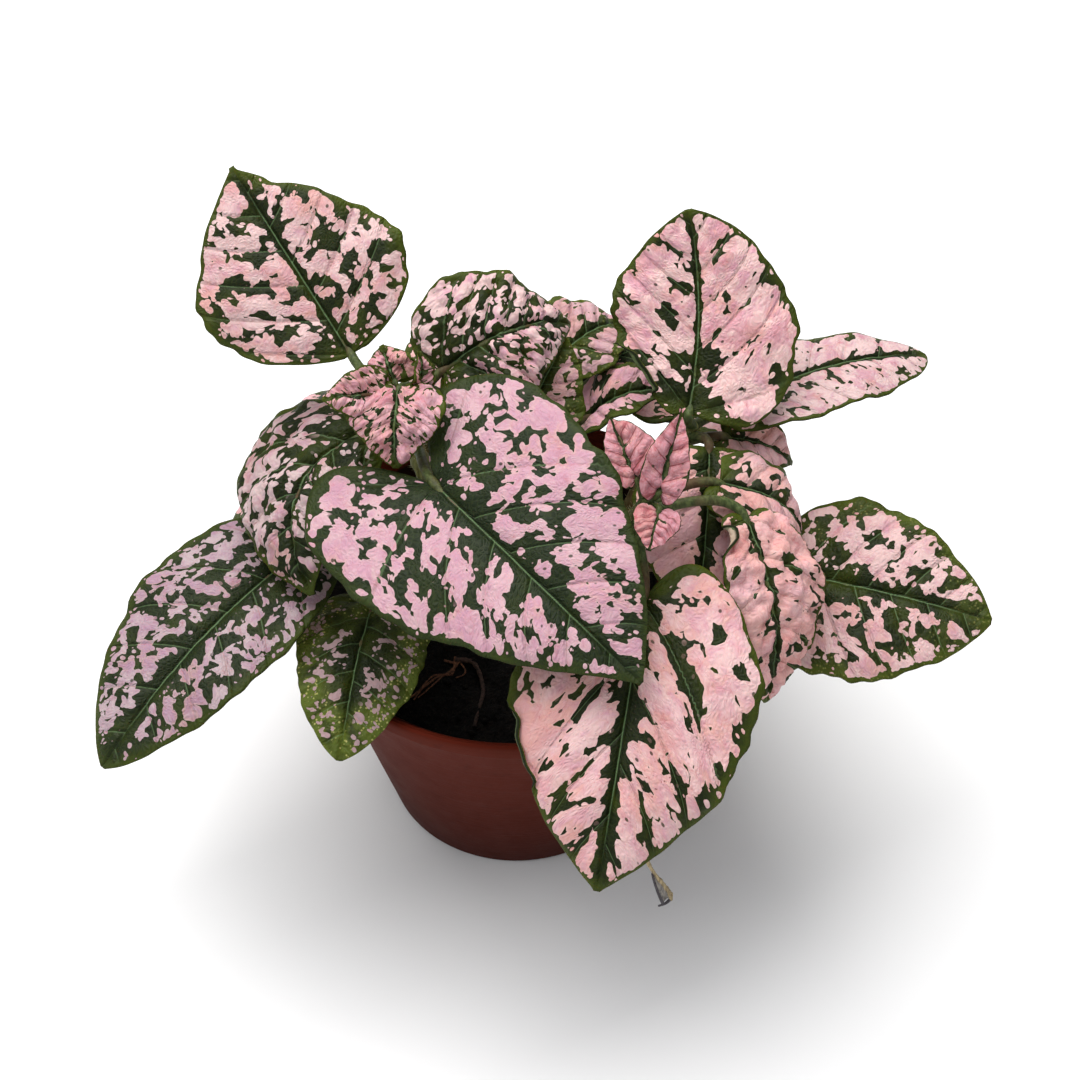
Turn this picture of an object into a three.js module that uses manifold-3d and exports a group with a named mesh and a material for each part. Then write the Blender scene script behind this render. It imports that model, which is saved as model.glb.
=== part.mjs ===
// A polka dot plant in a small tapered plastic pot: pink-splashed heart-shaped leaves on a few soft stems,
// rooted in dark potting soil. Millimetres, +Z up, origin at the centre of the pot's foot on the ground.
// The plant's best side faces -Y.
import * as THREE from "three";
import { mergeVertices } from "three/addons/utils/BufferGeometryUtils.js";
import Module from "manifold-3d";

const wasm = await Module();
wasm.setup();

// Driving dimensions

const potSize = {
  height: 60,
  rimRadius: 45,
  rimInnerRadius: 43.1,
  collarHeight: 3.2,
  shoulderRadius: 42.6,
  footRadius: 27,
  wall: 1.3,
  floor: 1.6,
  edge: 0.6, // bevel on the outer edges and round the rim's top
  cove: 1.2, // fillet between the wall and the floor
  sides: 40,
  drainHoles: 6,
  drainHoleRadius: 3,
  drainHoleSides: 12,
  drainCircleRadius: 16,
};

const soilSize = { surface: 50.5, crown: 2.2, lump: 0.9, rings: 4, sides: 28, gap: 0.3, bevel: 1.6 };

// Two crossed waves that make the soil's lumps: radians per millimetre, starting angles, the second one's
// share, and how fast they fade at the wall.
const soilWaves = { first: [0.31, 0.27], start: [1.3, -0.4], second: [0.37, 0.53], share: 0.6, fade: 2.5 };

const blade = {
  thickness: 0.7,
  tipHalfWidth: 0.5,
  fullness: 0.06, // how wide the blade already is where it leaves its stalk
  shoulder: 0.4, // below 0.4 widens the blade near its stalk, above narrows it
  point: 0.85, // above 1 draws the tip out, below 0.8 rounds it
  lobe: 0.1, // how far the base margins sweep back past the stalk, as a share of the length
  long: 7,
  wide: 6,
  stalkRadius: 0.95,
  ribRadius: 0.5,
  ribEnd: 0.4, // share of the midrib that stands out below the blade
  ribDrop: 0.8, // how far the midrib's centre lies below the blade's, as a share of its radius
  stalkDrop: 0.4, // the same where the stalk meets the blade
  liftFade: 0.6, // how much of a half's lift is gone by the tip
  marginWaves: 3, // waves along each margin
  phaseStep: 0.62, // how far one leaf's waves are shifted from the last one's
  seatGap: 0.3, // between a stalk's end and the stem that carries it
};

// How a stalk leaves its stem and meets its blade, as shares of its reach.
const stalkBend = { away: 0.35, rise: 0.12, approach: 0.35, steps: 4, ribSteps: 2 };

const stemSides = 6;
const stemSteps = 9;
const stalkSides = 4;

// A bud: how far each of its rings is above the stem's end, and how wide.
const bud = { heights: [0, 1.2, 2.4, 3.4], radii: [1.1, 1.4, 1, 0.4] };

// Stems: the route of each, from inside the soil to its growing point, with its radius below and above.
const stems = {
  right: { route: [[9, -6, 34], [12, -12, 62], [18, -19, 88], [23, -23, 101]], radius: [1.9, 1.3] },
  upper_right: { route: [[15, 5, 34], [19, 6, 62], [28, 4, 86], [33.5, 2, 98]], radius: [1.9, 1.3] },
  left: { route: [[-8, -6, 34], [-11, -7, 62], [-16, -5, 88], [-19.5, -3, 106]], radius: [2, 1.4] },
  far_left: { route: [[-16, 2, 34], [-20, 0, 58], [-26, -3, 73], [-29, -4, 80]], radius: [1.8, 1.3] },
  centre: { route: [[0, 8, 34], [2, 11, 60], [6, 13, 80], [8, 14, 90]], radius: [1.9, 1.3] },
  back: { route: [[6, 18, 34], [9, 25, 56], [12, 31, 69], [13, 34, 76]], radius: [1.7, 1.1] },
  back_left: { route: [[-10, 17, 34], [-14, 24, 56], [-18, 28, 67], [-21, 30, 74]], radius: [1.7, 1.1] },
};

// Leaves, each from the end of its stalk (base) to its tip. face is the way its upper side looks.
// Pairs give the left and the right half, seen from above with the tip ahead: width is how wide each half
// is, lift is its rise from the midrib in degrees, and curl is how far it bends by its margin. arch and
// sway bow the midrib towards face and to the right, in mm, a third and two thirds along.
const leaves = [
  // Front and sides, as the best side shows them
  { name: "leaf_front_centre", stem: "left", at: 0.88, base: [-13.5, -18, 101.5], tip: [22.5, -54, 89],
    face: [0, -0.65, 0.75], width: [26, 25.3], lobe: [0.24, 0.33], fullness: 0.14,
    shoulder: [0.4, 0.33], point: [0.85, 1.08], arch: [3, 4], lift: [16, 22], curl: [-24, -28] },
  { name: "leaf_low_left", stem: "far_left", at: 0.8, base: [-43, -8, 72], tip: [-76.5, -45, 54.5],
    face: [-0.3, -0.4, 0.85], width: [15, 18.5], lobe: 0.12, point: 0.7, arch: [5, 5],
    lift: [15, 15], curl: [-25, -25] },
  { name: "leaf_mid_left", stem: "left", at: 0.85, base: [-26.5, 2, 97], tip: [-37.5, -22, 77],
    face: [-0.6, -0.4, 0.7], width: [13, 19], lobe: 0, shoulder: 0.5, fullness: 0.03, arch: [8, 8],
    sway: [5, 5], curl: [-50, -30] },
  { name: "leaf_old_front", stem: "left", at: 0.45, base: [-27, -14, 66], tip: [-32, -47, 59],
    face: [-0.1, -0.4, 0.9], width: [13, 12], lobe: 0.05, point: 0.7, arch: [4, 3] },
  { name: "leaf_front_right", stem: "right", at: 0.95, base: [23.5, -35, 90], tip: [15, -75, 57.5],
    face: [0, -0.6, 0.8], width: [23.3, 22], lobe: 0.15, fullness: 0.1, shoulder: 0.6, point: 0.9,
    arch: [4, 5], lift: [15, 12], curl: [-30, -40] },
  { name: "leaf_right_drooping", stem: "right", at: 0.97, base: [42.5, -19.7, 94.8], tip: [46.5, -40, 67.5],
    face: [0.5, -0.6, 0.7], width: [13.8, 9], lobe: 0.05, shoulder: 0.5, point: 0.7, arch: [6, 6],
    curl: [-40, -30] },
  { name: "leaf_right_behind", stem: "right", at: 0.94, base: [38, -11.6, 96.2], tip: [54.5, -10, 79.2],
    face: [0.5, -0.2, 0.8], width: [9, 8.4], lobe: [0, 0.12], arch: [5, 5], curl: [-30, -30] },
  { name: "leaf_centre_right", stem: "upper_right", at: 0.95, base: [36.5, -3, 97], tip: [34, -27, 74],
    face: [0.1, -0.65, 0.75], width: [11.5, 14], lobe: 0, shoulder: 0.5, arch: [4, 3], lift: [5, 5],
    curl: [-30, -30] },
  { name: "leaf_small_right", stem: "upper_right", at: 0.88, base: [40, 3, 94], tip: [53, 3, 87],
    face: [0.3, -0.4, 0.85], width: [8, 6], arch: [3, 3], lift: [0, 10] },
  { name: "leaf_upper_right", stem: "upper_right", at: 0.99, base: [32.5, 0, 103], tip: [32, 22, 133],
    face: [0, -0.8, 0.6], width: [16.2, 18.7], lobe: 0.03, shoulder: [0.85, 0.45], point: 0.76,
    arch: [-2, -1], sway: [2, 2], lift: [12, 12], curl: [-20, -24] },
  { name: "leaf_far_right_upper", stem: "upper_right", at: 0.97, base: [42, 8, 97.5], tip: [79.5, 22, 97.5],
    face: [0, 0, 1], width: [9.5, 11], lobe: 0.08, point: 0.55, arch: [4, 4], lift: [15, 15],
    curl: [-30, -30] },
  { name: "leaf_upper_left", stem: "left", at: 0.95, base: [-30, 8, 110], tip: [-52, 32, 135],
    face: [0, -0.75, 0.65], width: [20, 19.6], lobe: 0, fullness: 0.01, shoulder: [0.85, 0.6],
    point: [1.05, 1.2], arch: [0, 1], lift: [12, 12], curl: [-20, -24] },
  { name: "leaf_upper_middle", stem: "left", at: 0.97, base: [-13, 5, 109], tip: [10.5, 16, 110.5],
    face: [-0.1, -0.5, 0.85], width: [14, 14], lobe: 0.12, arch: [8, 8], lift: [20, 0], curl: [-20, -40] },
  { name: "leaf_behind_middle", stem: "centre", at: 0.98, base: [9, 19, 100.5], tip: [21.5, 28.5, 100],
    face: [0, -0.2, 1], width: [11, 9], lobe: 0.1, arch: [3, 3] },
  { name: "leaf_shaded_middle", stem: "centre", at: 0.88, base: [1, 3, 96], tip: [10, 13, 110],
    face: [0, -0.7, 0.7], width: [10, 10], lobe: 0.1, arch: [1, 1] },
  { name: "leaf_inner_right", stem: "centre", at: 0.96, base: [14.5, 10, 92.5], tip: [30, 8.5, 101],
    face: [0, -0.1, 1], width: [8, 8], lobe: 0.2, arch: [3, 3], lift: [30, 30] },
  { name: "leaf_inner_back", stem: "centre", at: 0.93, base: [14, 19, 93], tip: [28, 26, 97],
    face: [0, -0.1, 1], width: [9, 9], lobe: 0.1, arch: [3, 3] },
  { name: "leaf_far_right_lower", stem: "right", at: 0.6, base: [53.5, -14, 74], tip: [89, -26, 74],
    face: [0, -0.5, 0.87], width: [17, 18.5], lobe: 0.12, point: 0.75, arch: [3, 3], lift: [12, 12],
    curl: [-24, -24] },

  // Back and sides
  { name: "leaf_left_side", stem: "far_left", at: 0.93, base: [-37, 4, 82], tip: [-54, 13, 60],
    face: [-0.6, 0.2, 0.8], width: [11, 12], arch: [6, 6] },
  { name: "leaf_right_side", stem: "upper_right", at: 0.7, base: [41, 6, 74], tip: [60, 12, 52],
    face: [0.6, 0.1, 0.8], width: [14, 14], arch: [5, 5] },
  { name: "leaf_back_right_upper", stem: "upper_right", at: 0.93, base: [32, 15, 88], tip: [42, 46, 74],
    face: [0.1, 0.3, 1], width: [13, 16], arch: [5, 6] },
  { name: "leaf_back_right_lower", stem: "upper_right", at: 0.8, base: [33, 24, 78], tip: [48, 48, 56],
    face: [0.3, 0.4, 0.9], width: [15, 15], arch: [5, 5] },
  { name: "leaf_inner_left", stem: "centre", at: 0.72, base: [-4, 16, 84], tip: [-24, 24, 87],
    face: [0, -0.1, 1], width: [11, 11], arch: [4, 4] },
  { name: "leaf_back_centre", stem: "centre", at: 0.8, base: [7, 24, 89], tip: [8, 42, 86],
    face: [0, 0.3, 1], width: [12, 9], arch: [4, 4] },
  { name: "leaf_back_middle_right", stem: "back", at: 0.95, base: [17, 40, 79], tip: [26, 62, 54],
    face: [0.1, 0.5, 0.9], width: [17, 16], arch: [6, 6] },
  { name: "leaf_back_middle_left", stem: "back", at: 0.94, base: [4, 38, 78], tip: [-8, 60, 54],
    face: [-0.1, 0.5, 0.9], width: [15, 15], arch: [6, 6] },
  { name: "leaf_back_left_upper", stem: "back_left", at: 0.93, base: [-13, 36, 80], tip: [-3, 54, 74],
    face: [0, 0.1, 1], width: [13, 13], arch: [4, 4] },
  { name: "leaf_back_left_lower", stem: "back_left", at: 0.97, base: [-20, 38, 70], tip: [-22, 56, 47],
    face: [-0.1, 0.5, 0.9], width: [12, 12], arch: [6, 6] },
  { name: "leaf_back_left_outer", stem: "back_left", at: 0.93, base: [-35, 29, 74], tip: [-54, 34, 52],
    face: [-0.5, 0.3, 0.8], width: [13, 13], arch: [6, 6] },
];

// What the young leaves share.
const youngLeaf = { stalk: { steps: 2, ribSteps: 1, scale: 0.6 }, long: 4, wide: 4, wave: 0.3 };
const youngPhaseStep = 0.3;

// Growing points: a bud at the top of a stem, fused with the young leaves round it.
const shoots = {
  left: [
    { base: [-22.5, -3.5, 110.5], tip: [-34, -8, 113.5], face: [0, -0.6, 0.8], width: [5.5, 5.5],
      arch: [2, 2] },
    { base: [-21.5, 0, 110.5], tip: [-24, 5, 115], face: [0, -0.8, 0.6], width: [5, 5], arch: [1, 1] },
    { base: [-20.5, -4, 112.5], tip: [-21, -14.5, 103], face: [-0.1, -0.6, 0.8], width: [9, 9], lobe: 0.15,
      arch: [4, 4], long: 6 },
    { base: [-18, -1, 111], tip: [-17, 1, 117], face: [0.6, -0.8, 0], width: [3, 3], arch: [1, 2],
      lift: [50, 50] },
  ],
  right: [
    { base: [26, -24.5, 106.5], tip: [30, -15.5, 118.5], face: [0, -0.7, 0.7], width: [4.4, 4.4], lobe: 0.12,
      point: 1.2, shoulder: 0.5, arch: [1, 1], lift: [30, 30] },
    { base: [26, -27, 104.5], tip: [24, -34.5, 102], face: [0, -0.5, 0.86], width: [4.3, 4.3], lobe: 0.15,
      arch: [1, 1] },
    { base: [22, -22, 107.3], tip: [17.5, -13, 113.5], face: [0, -0.7, 0.7], width: [4, 6], arch: [1, 1],
      lift: [35, 35] },
  ],
  far_left: [],
  back_left: [
    { base: [-23, 29.5, 77], tip: [-28, 29, 83], face: [0.5, 0, 0.85], width: [4, 4], arch: [1, 1] },
    { base: [-19.5, 32, 77.5], tip: [-16, 35, 84], face: [-0.5, 0, 0.85], width: [4, 4], arch: [1, 1] },
  ],
};

// A withered stalk that hangs over the rim.
const driedStalk = {
  route: [
    [13, -25, 46], [16.5, -33, 57], [20, -41, 62.5], [22, -46.5, 60],
    [24, -49.5, 48], [26.5, -51, 34], [29, -51, 24], [28, -52, 20],
  ],
  radius: [0.6, 0.6, 0.6, 0.6, 0.6, 0.7, 1.1, 0.7],
  sides: 6,
};

// Fine roots lying bare on the soil, which meet at one clump.
const rootlets = {
  routes: [
    [[-13.5, -16], [-11, -17.5], [-14.5, -21], [-19.5, -26.5]],
    [[-11.5, -16.5], [-8, -17.5], [-6, -23.5], [-7.5, -33]],
  ],
  radius: 0.45,
  steps: 8,
  sides: 5,
};

// Shared helpers

const vector = (p) => new THREE.Vector3(...p);

const radians = THREE.MathUtils.degToRad;

// A solid for manifold-3d from a closed geometry.
function solidOf(geometry) {
  const bare = new THREE.BufferGeometry().setAttribute("position", geometry.getAttribute("position"));
  if (geometry.index) bare.setIndex(geometry.index);
  const merged = mergeVertices(bare, 1e-4);
  return new wasm.Manifold(
    new wasm.Mesh({
      numProp: 3,
      vertProperties: new Float32Array(merged.attributes.position.array),
      triVerts: new Uint32Array(merged.index.array),
    }),
  );
}

// A geometry from a manifold-3d solid.
function geometryOf(solid) {
  const mesh = solid.getMesh();
  return new THREE.BufferGeometry()
    .setAttribute("position", new THREE.BufferAttribute(new Float32Array(mesh.vertProperties), 3))
    .setIndex(new THREE.BufferAttribute(new Uint32Array(mesh.triVerts), 1));
}

// The largest body of a solid; slivers that a cut leaves are dropped.
function mainBody(solid) {
  return solid.decompose().sort((a, b) => b.volume() - a.volume())[0];
}

function geometryFromLists(points, triangles) {
  const flat = points.flatMap((p) => [p.x, p.y, p.z]);
  return new THREE.BufferGeometry()
    .setAttribute("position", new THREE.Float32BufferAttribute(flat, 3))
    .setIndex(triangles);
}

// Below this, a tube's cross direction has come too near its own run and is taken anew.
const nearlyAlong = 0.01;

// A closed round tube through centres, one radius each.
function tube(centres, radii, sides) {
  const points = [];
  const triangles = [];
  let across = new THREE.Vector3(1, 0, 0);
  centres.forEach((centre, i) => {
    const ahead = centres[Math.min(i + 1, centres.length - 1)];
    const behind = centres[Math.max(i - 1, 0)];
    const along = ahead.clone().sub(behind).normalize();
    across = across.clone().projectOnPlane(along);
    if (across.lengthSq() < nearlyAlong) across = new THREE.Vector3(0, 1, 0).projectOnPlane(along);
    across.normalize();
    const up = new THREE.Vector3().crossVectors(along, across);
    for (let k = 0; k < sides; k++) {
      const angle = (2 * Math.PI * k) / sides;
      points.push(
        centre
          .clone()
          .addScaledVector(across, radii[i] * Math.cos(angle))
          .addScaledVector(up, radii[i] * Math.sin(angle)),
      );
    }
  });
  const last = (centres.length - 1) * sides;
  for (let i = 0; i < last; i += sides)
    for (let k = 0; k < sides; k++) {
      const next = (k + 1) % sides;
      triangles.push(i + k, i + next, i + sides + next, i + k, i + sides + next, i + sides + k);
    }
  for (let k = 1; k < sides - 1; k++) {
    triangles.push(0, k + 1, k);
    triangles.push(last, last + k, last + k + 1);
  }
  return geometryFromLists(points, triangles);
}

// Leaf blades

// How far the base margin sweeps back at q, 0 on the midrib and 1 at the side margin: most at about two
// thirds of the way out.
const lobeSweep = (q) => Math.sin(Math.PI * 0.8 * q ** 0.9);

// The values that a leaf leaves out.
const usual = { lift: [10, 10], curl: [-20, -20], wave: 0.6, arch: [0, 0], sway: [0, 0] };

// A value for one half, where it may be given as a left and right pair.
const half = (value, hand) => (Array.isArray(value) ? value[hand] : value);

// The width of one half at t, 0 at the stalk and 1 at the tip.
function halfWidth(leaf, t, hand) {
  const own = { ...blade, ...leaf };
  const { fullness } = own;
  const shoulder = half(own.shoulder, hand);
  const point = half(own.point, hand);
  const outline = (s) => (s + fullness) ** shoulder * (1 - s) ** point;
  const widest = (shoulder - point * fullness) / (shoulder + point);
  return Math.max((leaf.width[hand] * outline(Math.min(t, 1))) / outline(widest), blade.tipHalfWidth);
}

// The midrib's curve, with the blade's length and the way its upper face looks.
function leafFrame(leaf) {
  const base = vector(leaf.base);
  const tip = vector(leaf.tip);
  const axis = tip.clone().sub(base);
  const length = axis.length();
  const normal = vector(leaf.face).projectOnPlane(axis.clone().normalize()).normalize();
  const side = new THREE.Vector3().crossVectors(axis, normal).normalize();
  const { arch, sway } = { ...usual, ...leaf };
  const bow = 4 / 3; // a curve's middle points lie this much farther out than the curve itself
  const middle = [1, 2].map((third, i) =>
    base
      .clone()
      .addScaledVector(axis, third / 3)
      .addScaledVector(normal, bow * arch[i])
      .addScaledVector(side, bow * sway[i]),
  );
  const midrib = new THREE.CubicBezierCurve3(base, middle[0], middle[1], tip);
  return { length, normal, midrib };
}

// The blade's point at t along and v across, from -1 on the left margin to 1 on the right one.
function bladePoint(leaf, frame, t, v) {
  const q = Math.abs(v);
  const hand = v < 0 ? 0 : 1;
  const { lobe, lift, curl, wave } = { ...blade, ...usual, ...leaf };
  const along = t - half(lobe, hand) * lobeSweep(q) * (1 - t) ** 3;
  const onRib = Math.max(along, 0);
  const tangent = frame.midrib.getTangent(onRib);
  const centre = frame.midrib.getPoint(onRib);
  if (along < 0) centre.addScaledVector(tangent, along * frame.length);
  const normal = frame.normal.clone().projectOnPlane(tangent).normalize();
  const side = new THREE.Vector3().crossVectors(tangent, normal);
  const width = halfWidth(leaf, t, hand);
  const start = radians(lift[hand]) * (1 - blade.liftFade * t);
  const bend = radians(curl[hand]);
  const out = (width / bend) * (Math.sin(start + bend * q) - Math.sin(start));
  const turn = 2 * Math.PI * (blade.marginWaves * t + leaf.phase + hand / 2);
  const ripple = wave * q ** 2 * Math.sin(Math.PI * t) * Math.sin(turn);
  const rise = (width / bend) * (Math.cos(start) - Math.cos(start + bend * q)) + ripple;
  return centre.addScaledVector(side, Math.sign(v) * out).addScaledVector(normal, rise);
}

// The blade's own upward direction at t and v.
function bladeNormal(leaf, frame, t, v) {
  const step = 0.02;
  const at = (dt, dv) => bladePoint(leaf, frame, t + dt, v + dv);
  const [t0, t1] = [Math.max(t - step, 0) - t, Math.min(t + step, 1) - t];
  const [v0, v1] = [Math.max(v - step, -1) - v, Math.min(v + step, 1) - v];
  const along = at(t1, 0).sub(at(t0, 0));
  const across = at(0, v1).sub(at(0, v0));
  return across.cross(along).normalize();
}

// The blade as a closed thin solid, split into triangles alike on both faces.
function bladeGeometry(leaf, frame) {
  const { long, wide } = { ...blade, ...leaf };
  const upper = [];
  const lower = [];
  for (let i = 0; i <= long; i++)
    for (let j = 0; j <= wide; j++) {
      const t = i / long;
      const v = (2 * j) / wide - 1;
      const point = bladePoint(leaf, frame, t, v);
      const normal = bladeNormal(leaf, frame, t, v);
      upper.push(point.clone().addScaledVector(normal, blade.thickness / 2));
      lower.push(point.clone().addScaledVector(normal, -blade.thickness / 2));
    }
  const row = wide + 1;
  const under = upper.length;
  const triangles = [];
  for (let i = 0; i < long; i++)
    for (let j = 0; j < wide; j++) {
      const a = i * row + j;
      const [b, c, d] = [a + 1, a + row, a + row + 1];
      triangles.push(a, b, d, a, d, c);
      triangles.push(under + a, under + d, under + b, under + a, under + c, under + d);
    }
  const edge = [];
  for (let j = 0; j < wide; j++) edge.push(j);
  for (let i = 0; i < long; i++) edge.push(i * row + wide);
  for (let j = wide; j > 0; j--) edge.push(long * row + j);
  for (let i = long; i > 0; i--) edge.push(i * row);
  edge.forEach((a, k) => {
    const b = edge[(k + 1) % edge.length];
    triangles.push(a, under + a, under + b, a, under + b, b);
  });
  return geometryFromLists([...upper, ...lower], triangles);
}

// Stems

const stemCurves = Object.fromEntries(
  Object.entries(stems).map(([name, stem]) => [name, new THREE.CatmullRomCurve3(stem.route.map(vector))]),
);

// A stem, made wider by a margin where a clearance is cut.
function stemSolid(name, margin = 0) {
  const { radius } = stems[name];
  const centres = stemCurves[name].getPoints(stemSteps);
  const radii = centres.map((_, i) => THREE.MathUtils.lerp(radius[0], radius[1], i / stemSteps) + margin);
  return solidOf(tube(centres, radii, stemSides));
}

// The stalk from start to the blade, carried on below the blade as its midrib.
function stalkGeometry(leaf, frame, start) {
  const base = vector(leaf.base);
  const reach = base.distanceTo(start);
  const curve = new THREE.CubicBezierCurve3(
    start,
    start.clone().lerp(base, stalkBend.away).add(new THREE.Vector3(0, 0, stalkBend.rise * reach)),
    base.clone().addScaledVector(frame.midrib.getTangent(0), -stalkBend.approach * reach),
    base,
  );
  const { steps, ribSteps, scale } = { ...stalkBend, scale: 1, ...leaf.stalk };
  const centres = curve.getPoints(steps);
  const radii = centres.map(() => blade.stalkRadius * scale);
  const lowered = (point, t, depth) => point.addScaledVector(bladeNormal(leaf, frame, t, 0), -depth);
  lowered(centres[steps], 0, radii[steps] * blade.stalkDrop);
  for (let i = 1; i <= ribSteps; i++) {
    const t = (blade.ribEnd * i) / ribSteps;
    const radius = THREE.MathUtils.lerp(blade.stalkRadius, blade.ribRadius, i / ribSteps) * scale;
    centres.push(lowered(frame.midrib.getPoint(t), t, radius * blade.ribDrop));
    radii.push(radius);
  }
  return tube(centres, radii, stalkSides);
}

// A leaf with its stalk, as one solid from start outwards.
function stalkedLeaf(leaf, start) {
  const frame = leafFrame(leaf);
  return solidOf(bladeGeometry(leaf, frame)).add(solidOf(stalkGeometry(leaf, frame, start)));
}

function leafSolid(leaf) {
  const whole = stalkedLeaf(leaf, stemCurves[leaf.stem].getPointAt(leaf.at));
  return mainBody(whole.subtract(stemSolid(leaf.stem, blade.seatGap)));
}

// The bud on top of a stem with the young leaves that open round it.
function shootSolid(name) {
  const curve = stemCurves[name];
  const onward = curve.getTangent(1);
  const foot = curve.getPoint(1).addScaledVector(onward, blade.seatGap);
  const rings = bud.heights.map((height) => foot.clone().addScaledVector(onward, height));
  const heart = rings[1];
  let solid = solidOf(tube(rings, bud.radii, stemSides));
  shoots[name].forEach((leaf, i) => {
    solid = solid.add(stalkedLeaf({ ...youngLeaf, phase: youngPhaseStep * i, ...leaf }, heart));
  });
  return mainBody(solid.subtract(stemSolid(name, blade.seatGap)));
}

// Pot and soil

// The tapered wall's outer and inner radius at a height.
const taper = (potSize.shoulderRadius - potSize.footRadius) / potSize.height;
const outside = (z) => potSize.footRadius + taper * z;
const inside = (z) => outside(z) - potSize.wall;

function potSolid() {
  const p = potSize;
  const collarFoot = p.height - p.collarHeight;
  const profile = [
    [0, 0],
    [p.footRadius - p.edge, 0],
    [p.footRadius, p.edge],
    [outside(collarFoot), collarFoot],
    [p.rimRadius - p.edge, collarFoot],
    [p.rimRadius, collarFoot + p.edge],
    [p.rimRadius, p.height - p.edge],
    [p.rimRadius - p.edge, p.height],
    [p.rimInnerRadius + p.edge, p.height],
    [p.rimInnerRadius, p.height - p.edge],
    [inside(collarFoot), collarFoot - p.edge],
    [inside(p.floor + p.cove), p.floor + p.cove],
    [inside(p.floor) - p.cove, p.floor],
    [0, p.floor],
  ].map(([x, y]) => new THREE.Vector2(x, y));
  const shell = new THREE.LatheGeometry(profile, p.sides).rotateX(Math.PI / 2);
  let solid = solidOf(shell);
  for (let i = 0; i < p.drainHoles; i++) {
    const angle = (2 * Math.PI * i) / p.drainHoles;
    const [x, y] = [p.drainCircleRadius * Math.cos(angle), p.drainCircleRadius * Math.sin(angle)];
    const length = 4 * p.floor;
    const hole = new THREE.CylinderGeometry(p.drainHoleRadius, p.drainHoleRadius, length, p.drainHoleSides)
      .rotateX(Math.PI / 2)
      .translate(x, y, p.floor / 2);
    solid = solid.subtract(solidOf(hole));
  }
  return solid;
}

// The soil's surface: a low crown with soft lumps.
function soilHeight(x, y) {
  const s = soilSize;
  const reach = Math.hypot(x, y) / potSize.shoulderRadius;
  const { first, start, second, share, fade } = soilWaves;
  const broad = Math.sin(first[0] * x + start[0]) * Math.cos(first[1] * y + start[1]);
  const lumps = broad + share * Math.sin(second[0] * x + second[1] * y);
  return s.surface + s.crown * (1 - reach ** 2) + s.lump * lumps * Math.min(1, fade * (1 - reach));
}

function soilSolid() {
  const s = soilSize;
  const wallAt = (z) => inside(z) - s.gap;
  const bottom = potSize.floor + s.gap;
  const points = [new THREE.Vector3(0, 0, soilHeight(0, 0))];
  const triangles = [];
  const ringOf = (radius, height) => {
    for (let k = 0; k < s.sides; k++) {
      const angle = (2 * Math.PI * k) / s.sides;
      const [x, y] = [radius * Math.cos(angle), radius * Math.sin(angle)];
      points.push(new THREE.Vector3(x, y, height ?? soilHeight(x, y)));
    }
  };
  for (let i = 1; i < s.rings; i++) ringOf((wallAt(s.surface) * i) / s.rings);
  ringOf(wallAt(s.surface), s.surface);
  ringOf(wallAt(bottom + s.bevel), bottom + s.bevel);
  ringOf(wallAt(bottom) - s.bevel, bottom);
  points.push(new THREE.Vector3(0, 0, bottom));
  const ringCount = s.rings + 2;
  for (let k = 0; k < s.sides; k++) {
    const next = (k + 1) % s.sides;
    triangles.push(0, 1 + k, 1 + next);
    for (let i = 0; i < ringCount - 1; i++) {
      const [a, b] = [1 + i * s.sides + k, 1 + i * s.sides + next];
      triangles.push(a, a + s.sides, b, b, a + s.sides, b + s.sides);
    }
    const lastRing = 1 + (ringCount - 1) * s.sides;
    triangles.push(lastRing + k, points.length - 1, lastRing + next);
  }
  let solid = solidOf(geometryFromLists(points, triangles));
  for (const name of Object.keys(stems)) solid = solid.subtract(stemSolid(name, s.gap));
  solid = solid.subtract(driedStalkSolid(s.gap)).subtract(rootletSolid(s.gap));
  return mainBody(solid);
}

function driedStalkSolid(margin = 0) {
  const { route, radius, sides } = driedStalk;
  return solidOf(tube(route.map(vector), radius.map((r) => r + margin), sides));
}

function rootletSolid(margin = 0) {
  const { routes, radius, steps, sides } = rootlets;
  const strands = routes.map((route) => {
    const curve = new THREE.CatmullRomCurve3(route.map(([x, y]) => new THREE.Vector3(x, y, 0)));
    const resting = curve.getPoints(steps).map(({ x, y }) => new THREE.Vector3(x, y, soilHeight(x, y)));
    return solidOf(tube(resting, resting.map(() => radius + margin), sides));
  });
  return wasm.Manifold.union(strands);
}

// The assembled plant

const materials = {
  pot: new THREE.MeshStandardMaterial({ name: "pot", color: 0x6e2f22, roughness: 0.55 }),
  soil: new THREE.MeshStandardMaterial({ name: "soil", color: 0x17110d, roughness: 1 }),
  stem: new THREE.MeshStandardMaterial({ name: "stem", color: 0x55692f, roughness: 0.6 }),
  leaf: new THREE.MeshStandardMaterial({ name: "leaf", color: 0xd9a4a8, roughness: 0.5 }),
  dry: new THREE.MeshStandardMaterial({ name: "dry", color: 0x6b4a33, roughness: 0.9 }),
};

const plant = new THREE.Group();

function addPiece(name, solid, material) {
  const mesh = new THREE.Mesh(geometryOf(solid), material);
  mesh.name = name;
  plant.add(mesh);
}

addPiece("pot", potSolid(), materials.pot);
addPiece("soil", soilSolid(), materials.soil);
addPiece("rootlets", rootletSolid(), materials.dry);
addPiece("dried_stalk", driedStalkSolid(), materials.dry);
for (const name of Object.keys(stems)) addPiece(`stem_${name}`, stemSolid(name), materials.stem);
for (const name of Object.keys(shoots)) addPiece(`young_leaves_${name}`, shootSolid(name), materials.leaf);
leaves.forEach((leaf, i) => {
  const phase = (blade.phaseStep * i) % 1;
  addPiece(leaf.name, leafSolid({ phase, ...leaf }), materials.leaf);
});

export default plant;
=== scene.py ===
import math
import random
from functools import partialmethod

import bpy
import numpy as np
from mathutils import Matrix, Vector, noise


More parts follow.
